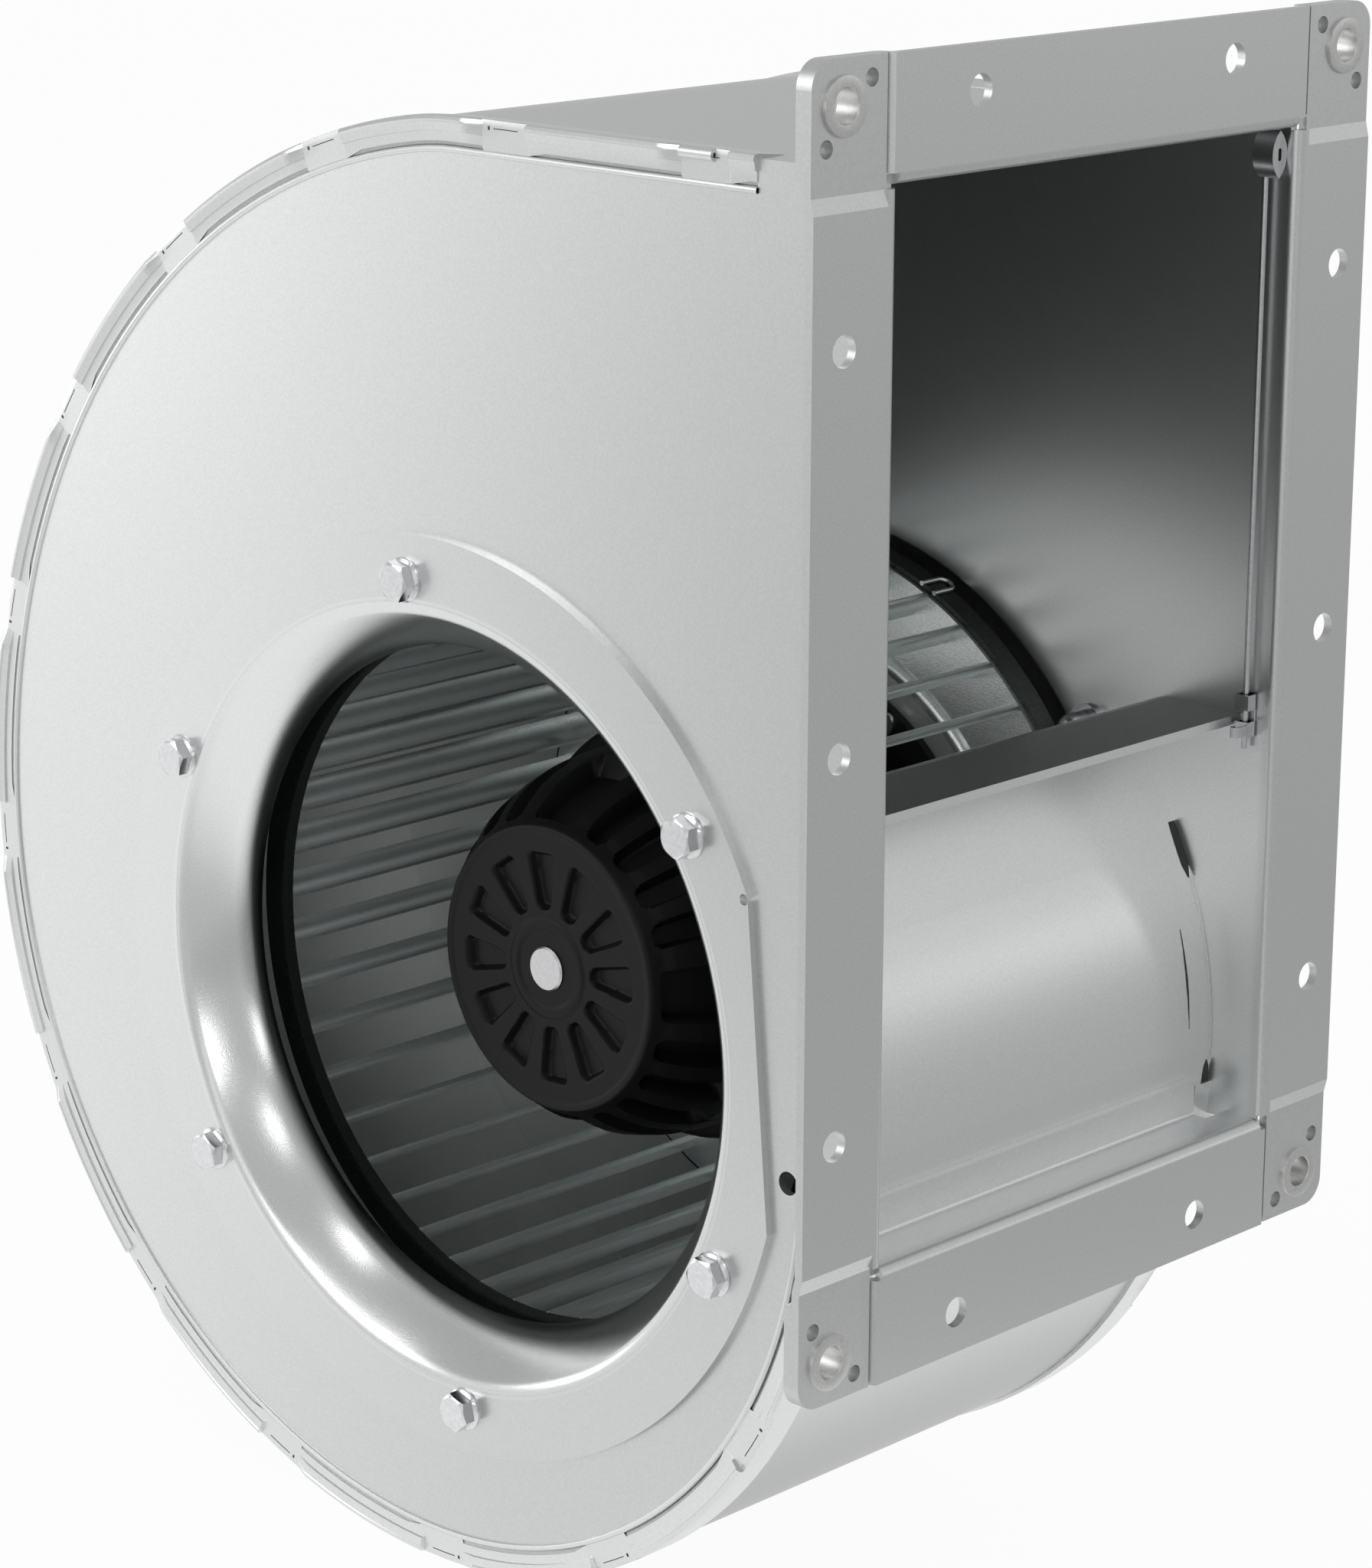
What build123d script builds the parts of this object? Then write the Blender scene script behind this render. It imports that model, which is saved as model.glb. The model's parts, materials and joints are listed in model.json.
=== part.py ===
"""Centrifugal blower: a scroll casing of folded galvanised sheet with a flanged outlet,
a bell-mouthed inlet ring, and a forward-curved impeller on an external-rotor motor.

Millimetres. The origin is the centre of the outlet flange's front face.
+X is the way the air leaves, -Y is the inlet side and +Z is up.
"""
import os
from math import acos, asin, cos, degrees, radians, sin, sqrt

from build123d import *

os.makedirs("parts", exist_ok=True)

# Sheet thicknesses and running gaps
sheet = 2.5
ring_sheet = 2.0
impeller_sheet = 1.2
blade_sheet = 0.9
play = 0.1
air_gap = 0.6

# Casing
case_width = 162.3
axis_x = -162.9
axis_drop = 241.1
scroll_radii = (221.0, 186.35, 150.3, 122.7)
scroll_start_x = 26.2
scroll_start_z = 21.3
scroll_top_blend = 105.5
casing_hole_margin = 1.0
side_hole_d = 6.4
side_hole_x = -31.0
side_hole_drop = 18.9

# Outlet: opening, flange, and the tongue that closes the scroll
outlet_half_height = 137.7
flange_bend = 3.0
flange_reach = 27.85
flange_rise = 31.5
flange_corner = 7.0
corner_step = 1.0
corner_step_margin = 0.7
corner_slope = 4.0
corner_plate_margin = 1.45
strip_end_slope = 1.9
strip_step = 3.5
flange_hole_d = 8.2
side_hole_pitch = 100.0
flange_hole_margin = 11.25
corner_hole_margin = 11.3
strip_hole_y = 49.85
clinch_d = 4.5
clinch_in = 9.7
clinch_out = 6.0
tongue_turn = 26.0
tongue_run = 30.2
tongue_bend = 10.0
tongue_lip_x = -12.0
sill_lip_height = 10.2
sill_lip_half = 69.0
sill_bend = 1.0
sill_step_x = -12.0

# Corner bushes
bush_head_d = 14.8
bush_body_d = 11.0
bush_bore_d = 8.6
bush_roll = 1.2

# Folded seam round each side plate
fold_start_x = -44.3
fold_end_turn = 85.6
fold_inner = -3.3
fold_outer = 3.6
fold_proud = 1.75
fold_reach = 9.45
fold_pitch = 72.2
fold_first_gap = 17.7
fold_gap = 17.0
fold_ramp = 4.6
groove_inner = -4.7
groove_depth = 1.2
roll_inner = -6.1
roll_proud = 0.6
seam_clip_d = 3.2
seam_clip_bore_d = 1.4
seam_clip_length = 11.5
seam_clip_x = -63.0

# Inlet ring and motor plate, on the same six-hole circle
ring_margin = 12.6
ring_flat_cut = 8.0
ring_flat_angle = 4.9
ring_notch_d = 3.0
bolt_margin = 6.4
bolt_start_angle = 34.9
bolt_count = 6
bolt_d = 6.0
bolt_hole_d = 6.6
bolt_hex = 10.0
bolt_head_height = 3.6
bolt_flange_d = 12.5
bolt_flange_height = 1.4
bolt_grip = 9.0
nut_d = 9.0
nut_collar_d = 12.0
nut_collar_height = 1.5
nut_length = 12.5
bell_width = 15.0
bell_depth = 20.15
nozzle_draw = 1.5
nozzle_gap = 2.0

# Impeller
blade_count = 45
blade_first_angle = 139.1
blade_outer_r = 109.4
blade_depth = 10.3
blade_lead = 4.2
blade_belly = 2.2
blade_front_y = -49.0
blade_back_y = 67.0
rim_sheet = 0.9
front_lip = 4.0
front_lip_margin = 0.4
front_rim = 7.0
back_rim = 6.8
back_ring_margin = 0.9
disc_inner_margin = 0.7
disc_edge = 0.8
disc_bead_r = 82.0
disc_bead_width = 6.0
disc_bead_height = 1.6
balance_clip_angle = 65.0
balance_clip_length = 9.0
balance_clip_width = 6.0

# Motor, outer rotor
rotor_r = 62.8
rotor_wall = 2.5
rotor_can_front_y = 12.0
rotor_flange = 9.2
rotor_rivet_inset = 4.0
rotor_rivet_d = 4.0
rotor_rivet_head_d = 7.0
rotor_rivet_head = 1.8
rotor_rivet_count = 6
cap_front_y = -40.6
cap_front_r = 42.0
cap_shoulder_y = -9.0
cap_shoulder_r = 56.0
cap_middle_y = -25.0
cap_middle_r = 51.5
cap_back_r = 58.0
cap_wall = 5.0
cap_floor = 10.0
cap_edge = 2.0
cap_boss_r = 20.0
cap_boss_back_y = -17.0
pocket_count = 12
pocket_inner_r = 17.5
pocket_outer_r = 35.0
pocket_depth = 3.0
pocket_rib = 4.0
pocket_fillet = 1.6
vent_count = 12
vent_lean = 24.5
vent_width = 11.0
vent_length = 25.0
vent_depth = 3.5
magnet_thickness = 6.0
magnet_length = 46.0
shaft_end_d = 13.0
shaft_end_proud = 0.5
shaft_d = 12.0
shaft_back_y = 79.0
circlip_thickness = 1.0
circlip_r = 8.0

# Motor, fixed parts
stator_flange_r = 50.0
stator_flange_thickness = 7.0
stator_hub_r = 30.0
stator_hub_depth = 10.0
stator_tube_r = 19.0
stator_tube_front_y = -14.0
bearing_r = 16.0
bearing_width = 10.0
bearing_lip = 2.0
bearing_ring = 2.6
shield_depth = 0.6
back_bearing_y = 64.0
washer_thickness = 1.0
cover_depth = 5.0
core_front_y = 17.0
core_length = 40.0
slot_count = 12
slot_width = 9.0
slot_bottom_r = 26.0
tooth_tip = 4.5
slot_mouth = 2.4
winding_overhang = 7.0
winding_gap = 0.4
stator_screw_r = 37.5
stator_screw_d = 6.0
stator_screw_head_d = 10.0
stator_screw_head = 6.0
stator_screw_socket = 5.0
stator_screw_count = 4
stator_screw_angle = 45.0
gland_r = 23.0
gland_angle = 90.0
gland_d = 9.0
gland_hole_d = 6.0
gland_lip_d = 12.0
gland_lip = 2.0

# Stay rod between the top of the outlet and the tongue
stay_x = -9.2
stay_y = 76.6
stay_d = 1.6
stay_top_gap = 0.2
stay_tail = 1.4
stay_eye_width = 6.2
stay_eye_height = 12.6
stay_eye_drop = 0.7
stay_eye_front = 5.2
stay_eye_back = 1.5
stay_eye_hole = 3.4
stay_eye_slit = 1.3
stay_clip_width = 4.0
stay_clip_depth = 5.4
stay_clip_height = 12.6
stay_clip_sheet = 0.8

# Worked out from the sizes above
plate_out = case_width / 2
plate_in = plate_out - sheet
axis_z = outlet_half_height - axis_drop
side_hole_z = axis_z - side_hole_drop
half_flange = plate_out + flange_reach
flange_height = 2 * (outlet_half_height + flange_rise)
corner_step_z = outlet_half_height - corner_step_margin
corner_plate_y = plate_out + corner_plate_margin
strip_end_y = corner_plate_y - strip_end_slope
flange_hole_y = half_flange - flange_hole_margin
corner_hole_z = flange_height / 2 - corner_hole_margin
sill_lip_z = sill_lip_height - outlet_half_height
blade_inner_r = blade_outer_r - blade_depth
impeller_r = blade_outer_r + play + rim_sheet
front_ring_y = blade_front_y - front_lip
front_ring_inner_r = blade_inner_r + front_lip_margin
back_ring_inner_r = blade_inner_r + back_ring_margin
disc_inner_r = rotor_r - rotor_wall + disc_inner_margin
disc_outer_r = blade_outer_r - disc_edge
nozzle_r = front_ring_inner_r - nozzle_gap - ring_sheet
nozzle_y = front_ring_y - nozzle_gap
bell_throat_r = nozzle_r + nozzle_draw
bell_outer_r = bell_throat_r + bell_width
casing_hole_r = bell_outer_r + casing_hole_margin
bolt_circle_r = bell_outer_r + bolt_margin
ring_r = bolt_circle_r + ring_margin
ring_flat = ring_r - ring_flat_cut
ring_notch_angle = ring_flat_angle + degrees(acos(ring_flat / ring_r))
scroll_cx = axis_x + scroll_start_x
scroll_cz = axis_z + scroll_start_z
blend_rise = outlet_half_height - scroll_cz - scroll_top_blend
blend_reach = scroll_radii[0] - scroll_top_blend
blend_turn = 90 - degrees(asin(blend_rise / blend_reach))
blend_x = scroll_cx - blend_reach * sin(radians(blend_turn))
third_cx = scroll_cx - scroll_radii[0] + scroll_radii[1]
third_cz = scroll_cz - scroll_radii[1] + scroll_radii[2]
casing_top = outlet_half_height + sheet
third_outer_r = scroll_radii[2] + sheet
third_outer_turn = 90 - degrees(asin((casing_top + third_cz) / third_outer_r))
sill_lip_x = third_cx + sqrt(third_outer_r**2 - (sill_lip_z - third_cz) ** 2)
strip_length = flange_height / 2 - outlet_half_height - flange_bend
scroll_turns = (90 - blend_turn, 90, 90, tongue_turn)
plate_turns = (90 - blend_turn, 90, third_outer_turn)
fold_turns = (90 - blend_turn, 90, fold_end_turn)
seam_bands = (
    (groove_inner, fold_inner, -groove_depth, Mode.SUBTRACT),
    (roll_inner, groove_inner, roll_proud, Mode.ADD),
)
disc_back_y = blade_back_y + impeller_sheet
back_ring_y = disc_back_y + back_rim
rotor_flange_r = rotor_r + rotor_flange
rotor_rivet_r = rotor_flange_r - rotor_rivet_inset
magnet_front_y = rotor_can_front_y + rotor_wall + play
core_r = rotor_r - rotor_wall - magnet_thickness - air_gap
slot_top_r = core_r - tooth_tip
front_lip_y = stator_tube_front_y + bearing_width + washer_thickness
stay_top_z = outlet_half_height - stay_top_gap
stay_eye_y = plate_in - stay_eye_width / 2
rotor_lip_r = cap_back_r - cap_wall
cap_bore_r = shaft_end_d / 2 + play / 2

wheel_plane = Plane(origin=(axis_x, 0, axis_z), x_dir=(1, 0, 0), z_dir=(0, -1, 0))
wheel_axis = Axis((axis_x, 0, axis_z), (0, 1, 0))
turning_plane = Plane(origin=(axis_x, 0, axis_z), x_dir=(1, 0, 0), z_dir=(0, 0, 1))


def scroll_run(out, first_x, turns):
    """Draw the scroll, `out` outside the inner face of its wrap, from first_x on the flat top."""
    top = Line((first_x, outlet_half_height + out), (blend_x, outlet_half_height + out))
    arc = JernArc(top @ 1, top % 1, scroll_top_blend + out, blend_turn)
    for radius, turn in zip(scroll_radii, turns):
        arc = JernArc(arc @ 1, arc % 1, radius + out, turn)
    return top, arc


def strip_outline():
    """Draw the section of a top or bottom flange strip, whose ears step back behind the corners."""
    Polyline(
        (-strip_step, -half_flange),
        (-strip_step, -corner_plate_y),
        (0, -strip_end_y),
        (0, strip_end_y),
        (-strip_step, corner_plate_y),
        (-strip_step, half_flange),
    )
    offset(amount=sheet, side=Side.LEFT)


def flange_holes(part_z):
    """Drill a flange strip through: two bolt holes, and the two seats of the corner bushes."""
    with Locations(Plane.YZ):
        with Locations((-strip_hole_y, part_z), (strip_hole_y, part_z)):
            Hole(flange_hole_d / 2)
        with Locations((-flange_hole_y, part_z), (flange_hole_y, part_z)):
            Hole(bush_body_d / 2)


# Scroll wrap, with the top flange strip at one end and the tongue at the other
with BuildPart() as scroll_wrap:
    with BuildSketch(Plane.XZ):
        with BuildLine():
            bend = JernArc((0, outlet_half_height + flange_bend), (0, -1), flange_bend, -90)
            top, last = scroll_run(0, (bend @ 1).X, scroll_turns)
            rise = Line(last @ 1, last @ 1 + (last % 1) * tongue_run)
            fold = JernArc(rise @ 1, rise % 1, tongue_bend, -90 - tongue_turn)
            tongue_top_z = (fold @ 1).Y
            Line(fold @ 1, (tongue_lip_x, tongue_top_z))
            offset(amount=sheet, side=Side.LEFT)
        make_face()
    extrude(amount=plate_in, both=True)
    with BuildSketch(Plane.XY.offset(outlet_half_height + flange_bend)):
        with BuildLine():
            strip_outline()
        make_face()
    extrude(amount=strip_length)
    flange_holes(corner_hole_z)
    for side in (0, -1):
        corner = scroll_wrap.edges().filter_by(Axis.X).group_by(Axis.Y)[side].sort_by(Axis.Z)[-1]
        fillet(corner, flange_corner)
scroll_wrap.part.label = "scroll_wrap"
export_step(scroll_wrap.part, "parts/scroll_wrap.step")

# Sill: the bottom flange strip, a shelf back to the scroll and a lip up against its wrap
with BuildPart() as outlet_sill:
    with BuildSketch(Plane.XZ):
        with BuildLine():
            bend = JernArc((0, -outlet_half_height - flange_bend), (0, 1), flange_bend, 90)
            Line(bend @ 1, (sill_step_x, -outlet_half_height))
            offset(amount=sheet, side=Side.LEFT)
        make_face()
    extrude(amount=plate_in, both=True)
    with BuildSketch(Plane.XZ):
        with BuildLine():
            shelf_end = (sill_lip_x + sheet + sill_bend, -outlet_half_height)
            shelf = Line((sill_step_x, -outlet_half_height), shelf_end)
            turn_up = JernArc(shelf @ 1, (-1, 0), sill_bend, -90)
            Line(turn_up @ 1, (sill_lip_x + sheet, sill_lip_z))
            offset(amount=sheet, side=Side.LEFT)
        make_face()
    extrude(amount=sill_lip_half, both=True)
    with BuildSketch(Plane.XY.offset(-flange_height / 2)):
        with BuildLine():
            strip_outline()
        make_face()
    extrude(amount=strip_length)
    flange_holes(-corner_hole_z)
    for side in (0, -1):
        corner = outlet_sill.edges().filter_by(Axis.X).group_by(Axis.Y)[side].sort_by(Axis.Z)[0]
        fillet(corner, flange_corner)
outlet_sill.part.label = "outlet_sill"
export_step(outlet_sill.part, "parts/outlet_sill.step")

# Inlet side plate, with the side strip of the flange bent out from it
with BuildPart() as inlet_side_plate:
    with BuildSketch(Plane.XZ.offset(plate_in)):
        with BuildLine():
            top, last = scroll_run(sheet, -flange_bend, plate_turns)
            Polyline(last @ 1, (-flange_bend, -casing_top), (-flange_bend, casing_top))
        make_face()
        with Locations((axis_x, axis_z)):
            Circle(casing_hole_r, mode=Mode.SUBTRACT)
            with PolarLocations(bolt_circle_r, bolt_count, bolt_start_angle):
                Circle(nut_d / 2 + play / 2, mode=Mode.SUBTRACT)
        with Locations((side_hole_x, side_hole_z)):
            Circle(side_hole_d / 2, mode=Mode.SUBTRACT)
    extrude(amount=sheet)
    for near, far, rise, mode in seam_bands:
        with BuildSketch(Plane.XZ.offset(plate_out)):
            with BuildLine():
                near_top, near_last = scroll_run(near, fold_start_x, fold_turns)
                far_top, far_last = scroll_run(far, fold_start_x, fold_turns)
                Line(near_top @ 0, far_top @ 0)
                Line(near_last @ 1, far_last @ 1)
            make_face()
        extrude(amount=rise, mode=mode)
    with BuildSketch(Plane.XY.offset(-corner_step_z)):
        with BuildLine():
            bend = JernArc((-flange_bend, -plate_in), (1, 0), flange_bend, -90)
            Line(bend @ 1, (0, -corner_plate_y))
            offset(amount=sheet, side=Side.RIGHT)
        make_face()
    extrude(amount=2 * corner_step_z)
    with BuildSketch(Plane.XZ.offset(corner_plate_y)):
        with BuildLine():
            Polyline(
                (-corner_step, -flange_height / 2),
                (-corner_step, -corner_step_z),
                (0, -corner_step_z + corner_slope),
                (0, corner_step_z - corner_slope),
                (-corner_step, corner_step_z),
                (-corner_step, flange_height / 2),
            )
            offset(amount=sheet, side=Side.LEFT)
        make_face()
    extrude(amount=half_flange - corner_plate_y)
    fillet(inlet_side_plate.edges().filter_by(Axis.X).group_by(Axis.Y)[0], flange_corner)
    with Locations(Plane.YZ):
        for z in (-side_hole_pitch, 0, side_hole_pitch):
            with Locations((-flange_hole_y, z)):
                Hole(flange_hole_d / 2)
        for way in (-1, 1):
            with Locations((-flange_hole_y, way * corner_hole_z)):
                Hole(bush_body_d / 2)
            with Locations(
                (-flange_hole_y + clinch_in, way * (corner_hole_z + clinch_out)),
                (-flange_hole_y - clinch_out, way * (corner_hole_z - clinch_in)),
            ):
                Hole(clinch_d / 2)
inlet_side_plate.part.label = "inlet_side_plate"
export_step(inlet_side_plate.part, "parts/inlet_side_plate.step")

# Motor side plate, the same pressing the other way round
with BuildPart() as motor_side_plate:
    mirror(inlet_side_plate.part, about=Plane.XZ)
motor_side_plate.part.label = "motor_side_plate"
export_step(motor_side_plate.part, "parts/motor_side_plate.step")

# Folded seam: a skin lapped on the wrap's outer face, and tabs pressed flat on the side plate
with BuildLine() as face_edge:
    scroll_run(0, fold_start_x, fold_turns)
edge_wire = face_edge.wires()[0]
gap_count = int((edge_wire.length - fold_first_gap) / fold_pitch) + 1

with BuildPart() as inlet_seam_strip:
    with BuildSketch(Plane.XZ.offset(plate_out)):
        with BuildLine():
            near_top, near_last = scroll_run(fold_inner, fold_start_x, fold_turns)
            far_top, far_last = scroll_run(fold_outer, fold_start_x, fold_turns)
            Line(near_top @ 0, far_top @ 0)
            Line(near_last @ 1, far_last @ 1)
        make_face()
    extrude(amount=fold_proud)
    for number in range(gap_count):
        along = fold_first_gap + number * fold_pitch
        place = edge_wire.position_at(along, position_mode=PositionMode.LENGTH)
        heading = edge_wire.tangent_at(along, position_mode=PositionMode.LENGTH)
        gap_plane = Plane(
            origin=(place.X, -plate_out, place.Y),
            x_dir=(heading.X, 0, heading.Y),
            z_dir=(heading.Y, 0, -heading.X),
        )
        with BuildSketch(gap_plane):
            with BuildLine():
                Polyline(
                    (-fold_gap / 2, 0),
                    (-fold_gap / 2, fold_proud),
                    (fold_gap / 2 + fold_ramp, fold_proud),
                    (fold_gap / 2, 0),
                    close=True,
                )
            make_face()
        extrude(amount=3 * fold_outer, both=True, mode=Mode.SUBTRACT)
    with BuildSketch(Plane.XZ.offset(plate_out - fold_reach)):
        with BuildLine():
            near_top, near_last = scroll_run(sheet, fold_start_x, plate_turns)
            far_top, far_last = scroll_run(fold_outer, fold_start_x, plate_turns)
            Line(near_top @ 0, far_top @ 0)
            Line(near_last @ 1, far_last @ 1)
        make_face()
    extrude(amount=fold_reach + fold_proud)
inlet_seam_strip.part.label = "inlet_seam_strip"
export_step(inlet_seam_strip.part, "parts/inlet_seam_strip.step")

with BuildPart() as motor_seam_strip:
    mirror(inlet_seam_strip.part, about=Plane.XZ)
motor_seam_strip.part.label = "motor_seam_strip"
export_step(motor_seam_strip.part, "parts/motor_seam_strip.step")

# Small rolled tube on the top edge of the seam
with BuildPart() as seam_clip:
    with BuildSketch(Plane.YZ.offset(seam_clip_x - seam_clip_length / 2)):
        with Locations((-plate_out, outlet_half_height + fold_outer + seam_clip_d / 2)):
            Circle(seam_clip_d / 2)
            Circle(seam_clip_bore_d / 2, mode=Mode.SUBTRACT)
    extrude(amount=seam_clip_length)
seam_clip.part.label = "seam_clip"
export_step(seam_clip.part, "parts/seam_clip.step")

# Corner bushes, riveted through each corner plate and the ear behind it
with BuildPart() as corner_bushes:
    bush_back = -strip_step - sheet
    for start, length, width in (
        (-corner_step, corner_step, bush_head_d),
        (bush_back, -bush_back - corner_step, bush_body_d - play),
        (bush_back - bush_roll, bush_roll, bush_body_d + 2 * bush_roll),
    ):
        with BuildSketch(Plane.YZ.offset(start)):
            with GridLocations(2 * flange_hole_y, 2 * corner_hole_z, 2, 2):
                Circle(width / 2)
                Circle(bush_bore_d / 2, mode=Mode.SUBTRACT)
        extrude(amount=length)
corner_bushes.part.label = "corner_bushes"
export_step(corner_bushes.part, "parts/corner_bushes.step")

# Inlet ring: a disc with one flat, whose hole carries the bell mouth
with BuildPart() as inlet_ring:
    with BuildSketch(wheel_plane.offset(plate_out)):
        Circle(ring_r)
        Circle(bell_outer_r, mode=Mode.SUBTRACT)
        with PolarLocations(ring_flat + ring_r / 2, 1, ring_flat_angle):
            Rectangle(ring_r, 2 * ring_r, mode=Mode.SUBTRACT)
        with PolarLocations(ring_r - ring_notch_d / 2, 1, ring_notch_angle):
            Circle(ring_notch_d / 2, mode=Mode.SUBTRACT)
        with PolarLocations(bolt_circle_r, bolt_count, bolt_start_angle):
            Circle(bolt_hole_d / 2, mode=Mode.SUBTRACT)
    extrude(amount=ring_sheet)
inlet_ring.part.label = "inlet_ring"
export_step(inlet_ring.part, "parts/inlet_ring.step")

# Bell mouth, drawn in from the ring to a short nozzle
with BuildPart() as inlet_bell:
    with BuildSketch(turning_plane):
        with BuildLine():
            bell_centre = (bell_outer_r, bell_depth - plate_out - ring_sheet)
            face = EllipticalCenterArc(bell_centre, bell_width, bell_depth, 180, arc_size=90)
            back = EllipticalCenterArc(
                bell_centre, bell_width - ring_sheet, bell_depth - ring_sheet, 180, arc_size=90
            )
            Polyline(face @ 0, (nozzle_r, nozzle_y), (nozzle_r + ring_sheet, nozzle_y), back @ 0)
            Line(face @ 1, back @ 1)
        make_face()
    revolve(axis=wheel_axis)
inlet_bell.part.label = "inlet_bell"
export_step(inlet_bell.part, "parts/inlet_bell.step")

# Hexagon flange bolts of the inlet ring
with BuildPart() as inlet_ring_bolts:
    bolt_seat = wheel_plane.offset(plate_out + ring_sheet)
    with BuildSketch(bolt_seat):
        with PolarLocations(bolt_circle_r, bolt_count, bolt_start_angle):
            Circle(bolt_flange_d / 2)
    extrude(amount=bolt_flange_height)
    with BuildSketch(bolt_seat.offset(bolt_flange_height)):
        with PolarLocations(bolt_circle_r, bolt_count, bolt_start_angle):
            RegularPolygon(bolt_hex / 2, 6, major_radius=False)
    extrude(amount=bolt_head_height)
    with BuildSketch(bolt_seat):
        with PolarLocations(bolt_circle_r, bolt_count, bolt_start_angle):
            Circle(bolt_d / 2)
    extrude(amount=-bolt_grip)
inlet_ring_bolts.part.label = "inlet_ring_bolts"
export_step(inlet_ring_bolts.part, "parts/inlet_ring_bolts.step")

# Closed rivet nuts in the side plate, one behind each bolt
with BuildPart() as inlet_rivet_nuts:
    with BuildSketch(wheel_plane.offset(plate_out)):
        with PolarLocations(bolt_circle_r, bolt_count, bolt_start_angle):
            Circle(nut_d / 2)
    extrude(amount=-nut_length)
    fillet(inlet_rivet_nuts.edges().group_by(Axis.Y)[-1], nut_d / 3)
    with BuildSketch(wheel_plane.offset(plate_in)):
        with PolarLocations(bolt_circle_r, bolt_count, bolt_start_angle):
            Circle(nut_collar_d / 2)
    extrude(amount=-nut_collar_height)
    with BuildSketch(wheel_plane.offset(plate_out)):
        with PolarLocations(bolt_circle_r, bolt_count, bolt_start_angle):
            Circle(bolt_d / 2 + play / 2)
    extrude(amount=-nut_length + nut_d / 4, mode=Mode.SUBTRACT)
inlet_rivet_nuts.part.label = "inlet_rivet_nuts"
export_step(inlet_rivet_nuts.part, "parts/inlet_rivet_nuts.step")

# Motor plate: the same disc on the other side, closed but for the motor's hub and screws
with BuildPart() as motor_plate:
    with BuildSketch(wheel_plane.offset(-plate_out)):
        Circle(ring_r)
        Circle(stator_hub_r + play, mode=Mode.SUBTRACT)
        with PolarLocations(ring_flat + ring_r / 2, 1, ring_flat_angle):
            Rectangle(ring_r, 2 * ring_r, mode=Mode.SUBTRACT)
        with PolarLocations(bolt_circle_r, bolt_count, bolt_start_angle):
            Circle(bolt_hole_d / 2, mode=Mode.SUBTRACT)
        with PolarLocations(stator_screw_r, stator_screw_count, stator_screw_angle):
            Circle(stator_screw_d / 2 + play, mode=Mode.SUBTRACT)
    extrude(amount=-ring_sheet)
motor_plate.part.label = "motor_plate"
export_step(motor_plate.part, "parts/motor_plate.step")

with BuildPart() as motor_plate_bolts:
    mirror(inlet_ring_bolts.part, about=Plane.XZ)
motor_plate_bolts.part.label = "motor_plate_bolts"
export_step(motor_plate_bolts.part, "parts/motor_plate_bolts.step")

with BuildPart() as motor_rivet_nuts:
    mirror(inlet_rivet_nuts.part, about=Plane.XZ)
motor_rivet_nuts.part.label = "motor_rivet_nuts"
export_step(motor_rivet_nuts.part, "parts/motor_rivet_nuts.step")

# Impeller blades: thin forward-curved strips between the front ring and the back disc
with BuildSketch() as blade_section:
    with BuildLine():
        foot = Vector(blade_inner_r, 0)
        tip = Vector(sqrt(blade_outer_r**2 - blade_lead**2), -blade_lead)
        chord = tip - foot
        belly = Vector(-chord.Y, chord.X).normalized() * blade_belly
        ThreePointArc(foot, foot + chord / 2 + belly, tip)
        offset(amount=blade_sheet, side=Side.RIGHT)
    make_face()

with BuildPart() as impeller_blades:
    with BuildSketch(wheel_plane.offset(-blade_front_y)):
        with PolarLocations(0, blade_count, blade_first_angle):
            add(blade_section.sketch)
    extrude(amount=blade_front_y - blade_back_y)
impeller_blades.part.label = "impeller_blades"
export_step(impeller_blades.part, "parts/impeller_blades.step")

with BuildPart() as impeller_front_ring:
    with BuildSketch(turning_plane):
        with BuildLine():
            Polyline(
                (front_ring_inner_r, blade_front_y),
                (front_ring_inner_r, front_ring_y),
                (front_ring_inner_r + impeller_sheet, front_ring_y),
                (front_ring_inner_r + impeller_sheet, blade_front_y - impeller_sheet),
                (impeller_r, blade_front_y - impeller_sheet),
                (impeller_r, blade_front_y + front_rim),
                (blade_outer_r + play, blade_front_y + front_rim),
                (blade_outer_r + play, blade_front_y),
                close=True,
            )
        make_face()
    revolve(axis=wheel_axis)
impeller_front_ring.part.label = "impeller_front_ring"
export_step(impeller_front_ring.part, "parts/impeller_front_ring.step")

# Back disc, stiffened by one pressed bead and riveted to the rotor's flange
with BuildPart() as impeller_back_disc:
    with BuildSketch(turning_plane):
        with BuildLine():
            bead_start = disc_bead_r - disc_bead_width / 2
            bead_end = disc_bead_r + disc_bead_width / 2
            Polyline(
                (bead_start, disc_back_y),
                (disc_inner_r, disc_back_y),
                (disc_inner_r, blade_back_y),
                (bead_start, blade_back_y),
            )
            ThreePointArc(
                (bead_start, blade_back_y),
                (disc_bead_r, blade_back_y - disc_bead_height),
                (bead_end, blade_back_y),
            )
            Polyline(
                (bead_end, blade_back_y),
                (disc_outer_r, blade_back_y),
                (disc_outer_r, disc_back_y),
                (bead_end, disc_back_y),
            )
            ThreePointArc(
                (bead_end, disc_back_y),
                (disc_bead_r, disc_back_y - disc_bead_height),
                (bead_start, disc_back_y),
            )
        make_face()
    revolve(axis=wheel_axis)
    with BuildSketch(wheel_plane.offset(-blade_back_y)):
        with PolarLocations(rotor_rivet_r, rotor_rivet_count):
            Circle(rotor_rivet_d / 2 + play / 2)
    extrude(amount=-impeller_sheet, mode=Mode.SUBTRACT)
impeller_back_disc.part.label = "impeller_back_disc"
export_step(impeller_back_disc.part, "parts/impeller_back_disc.step")

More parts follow.
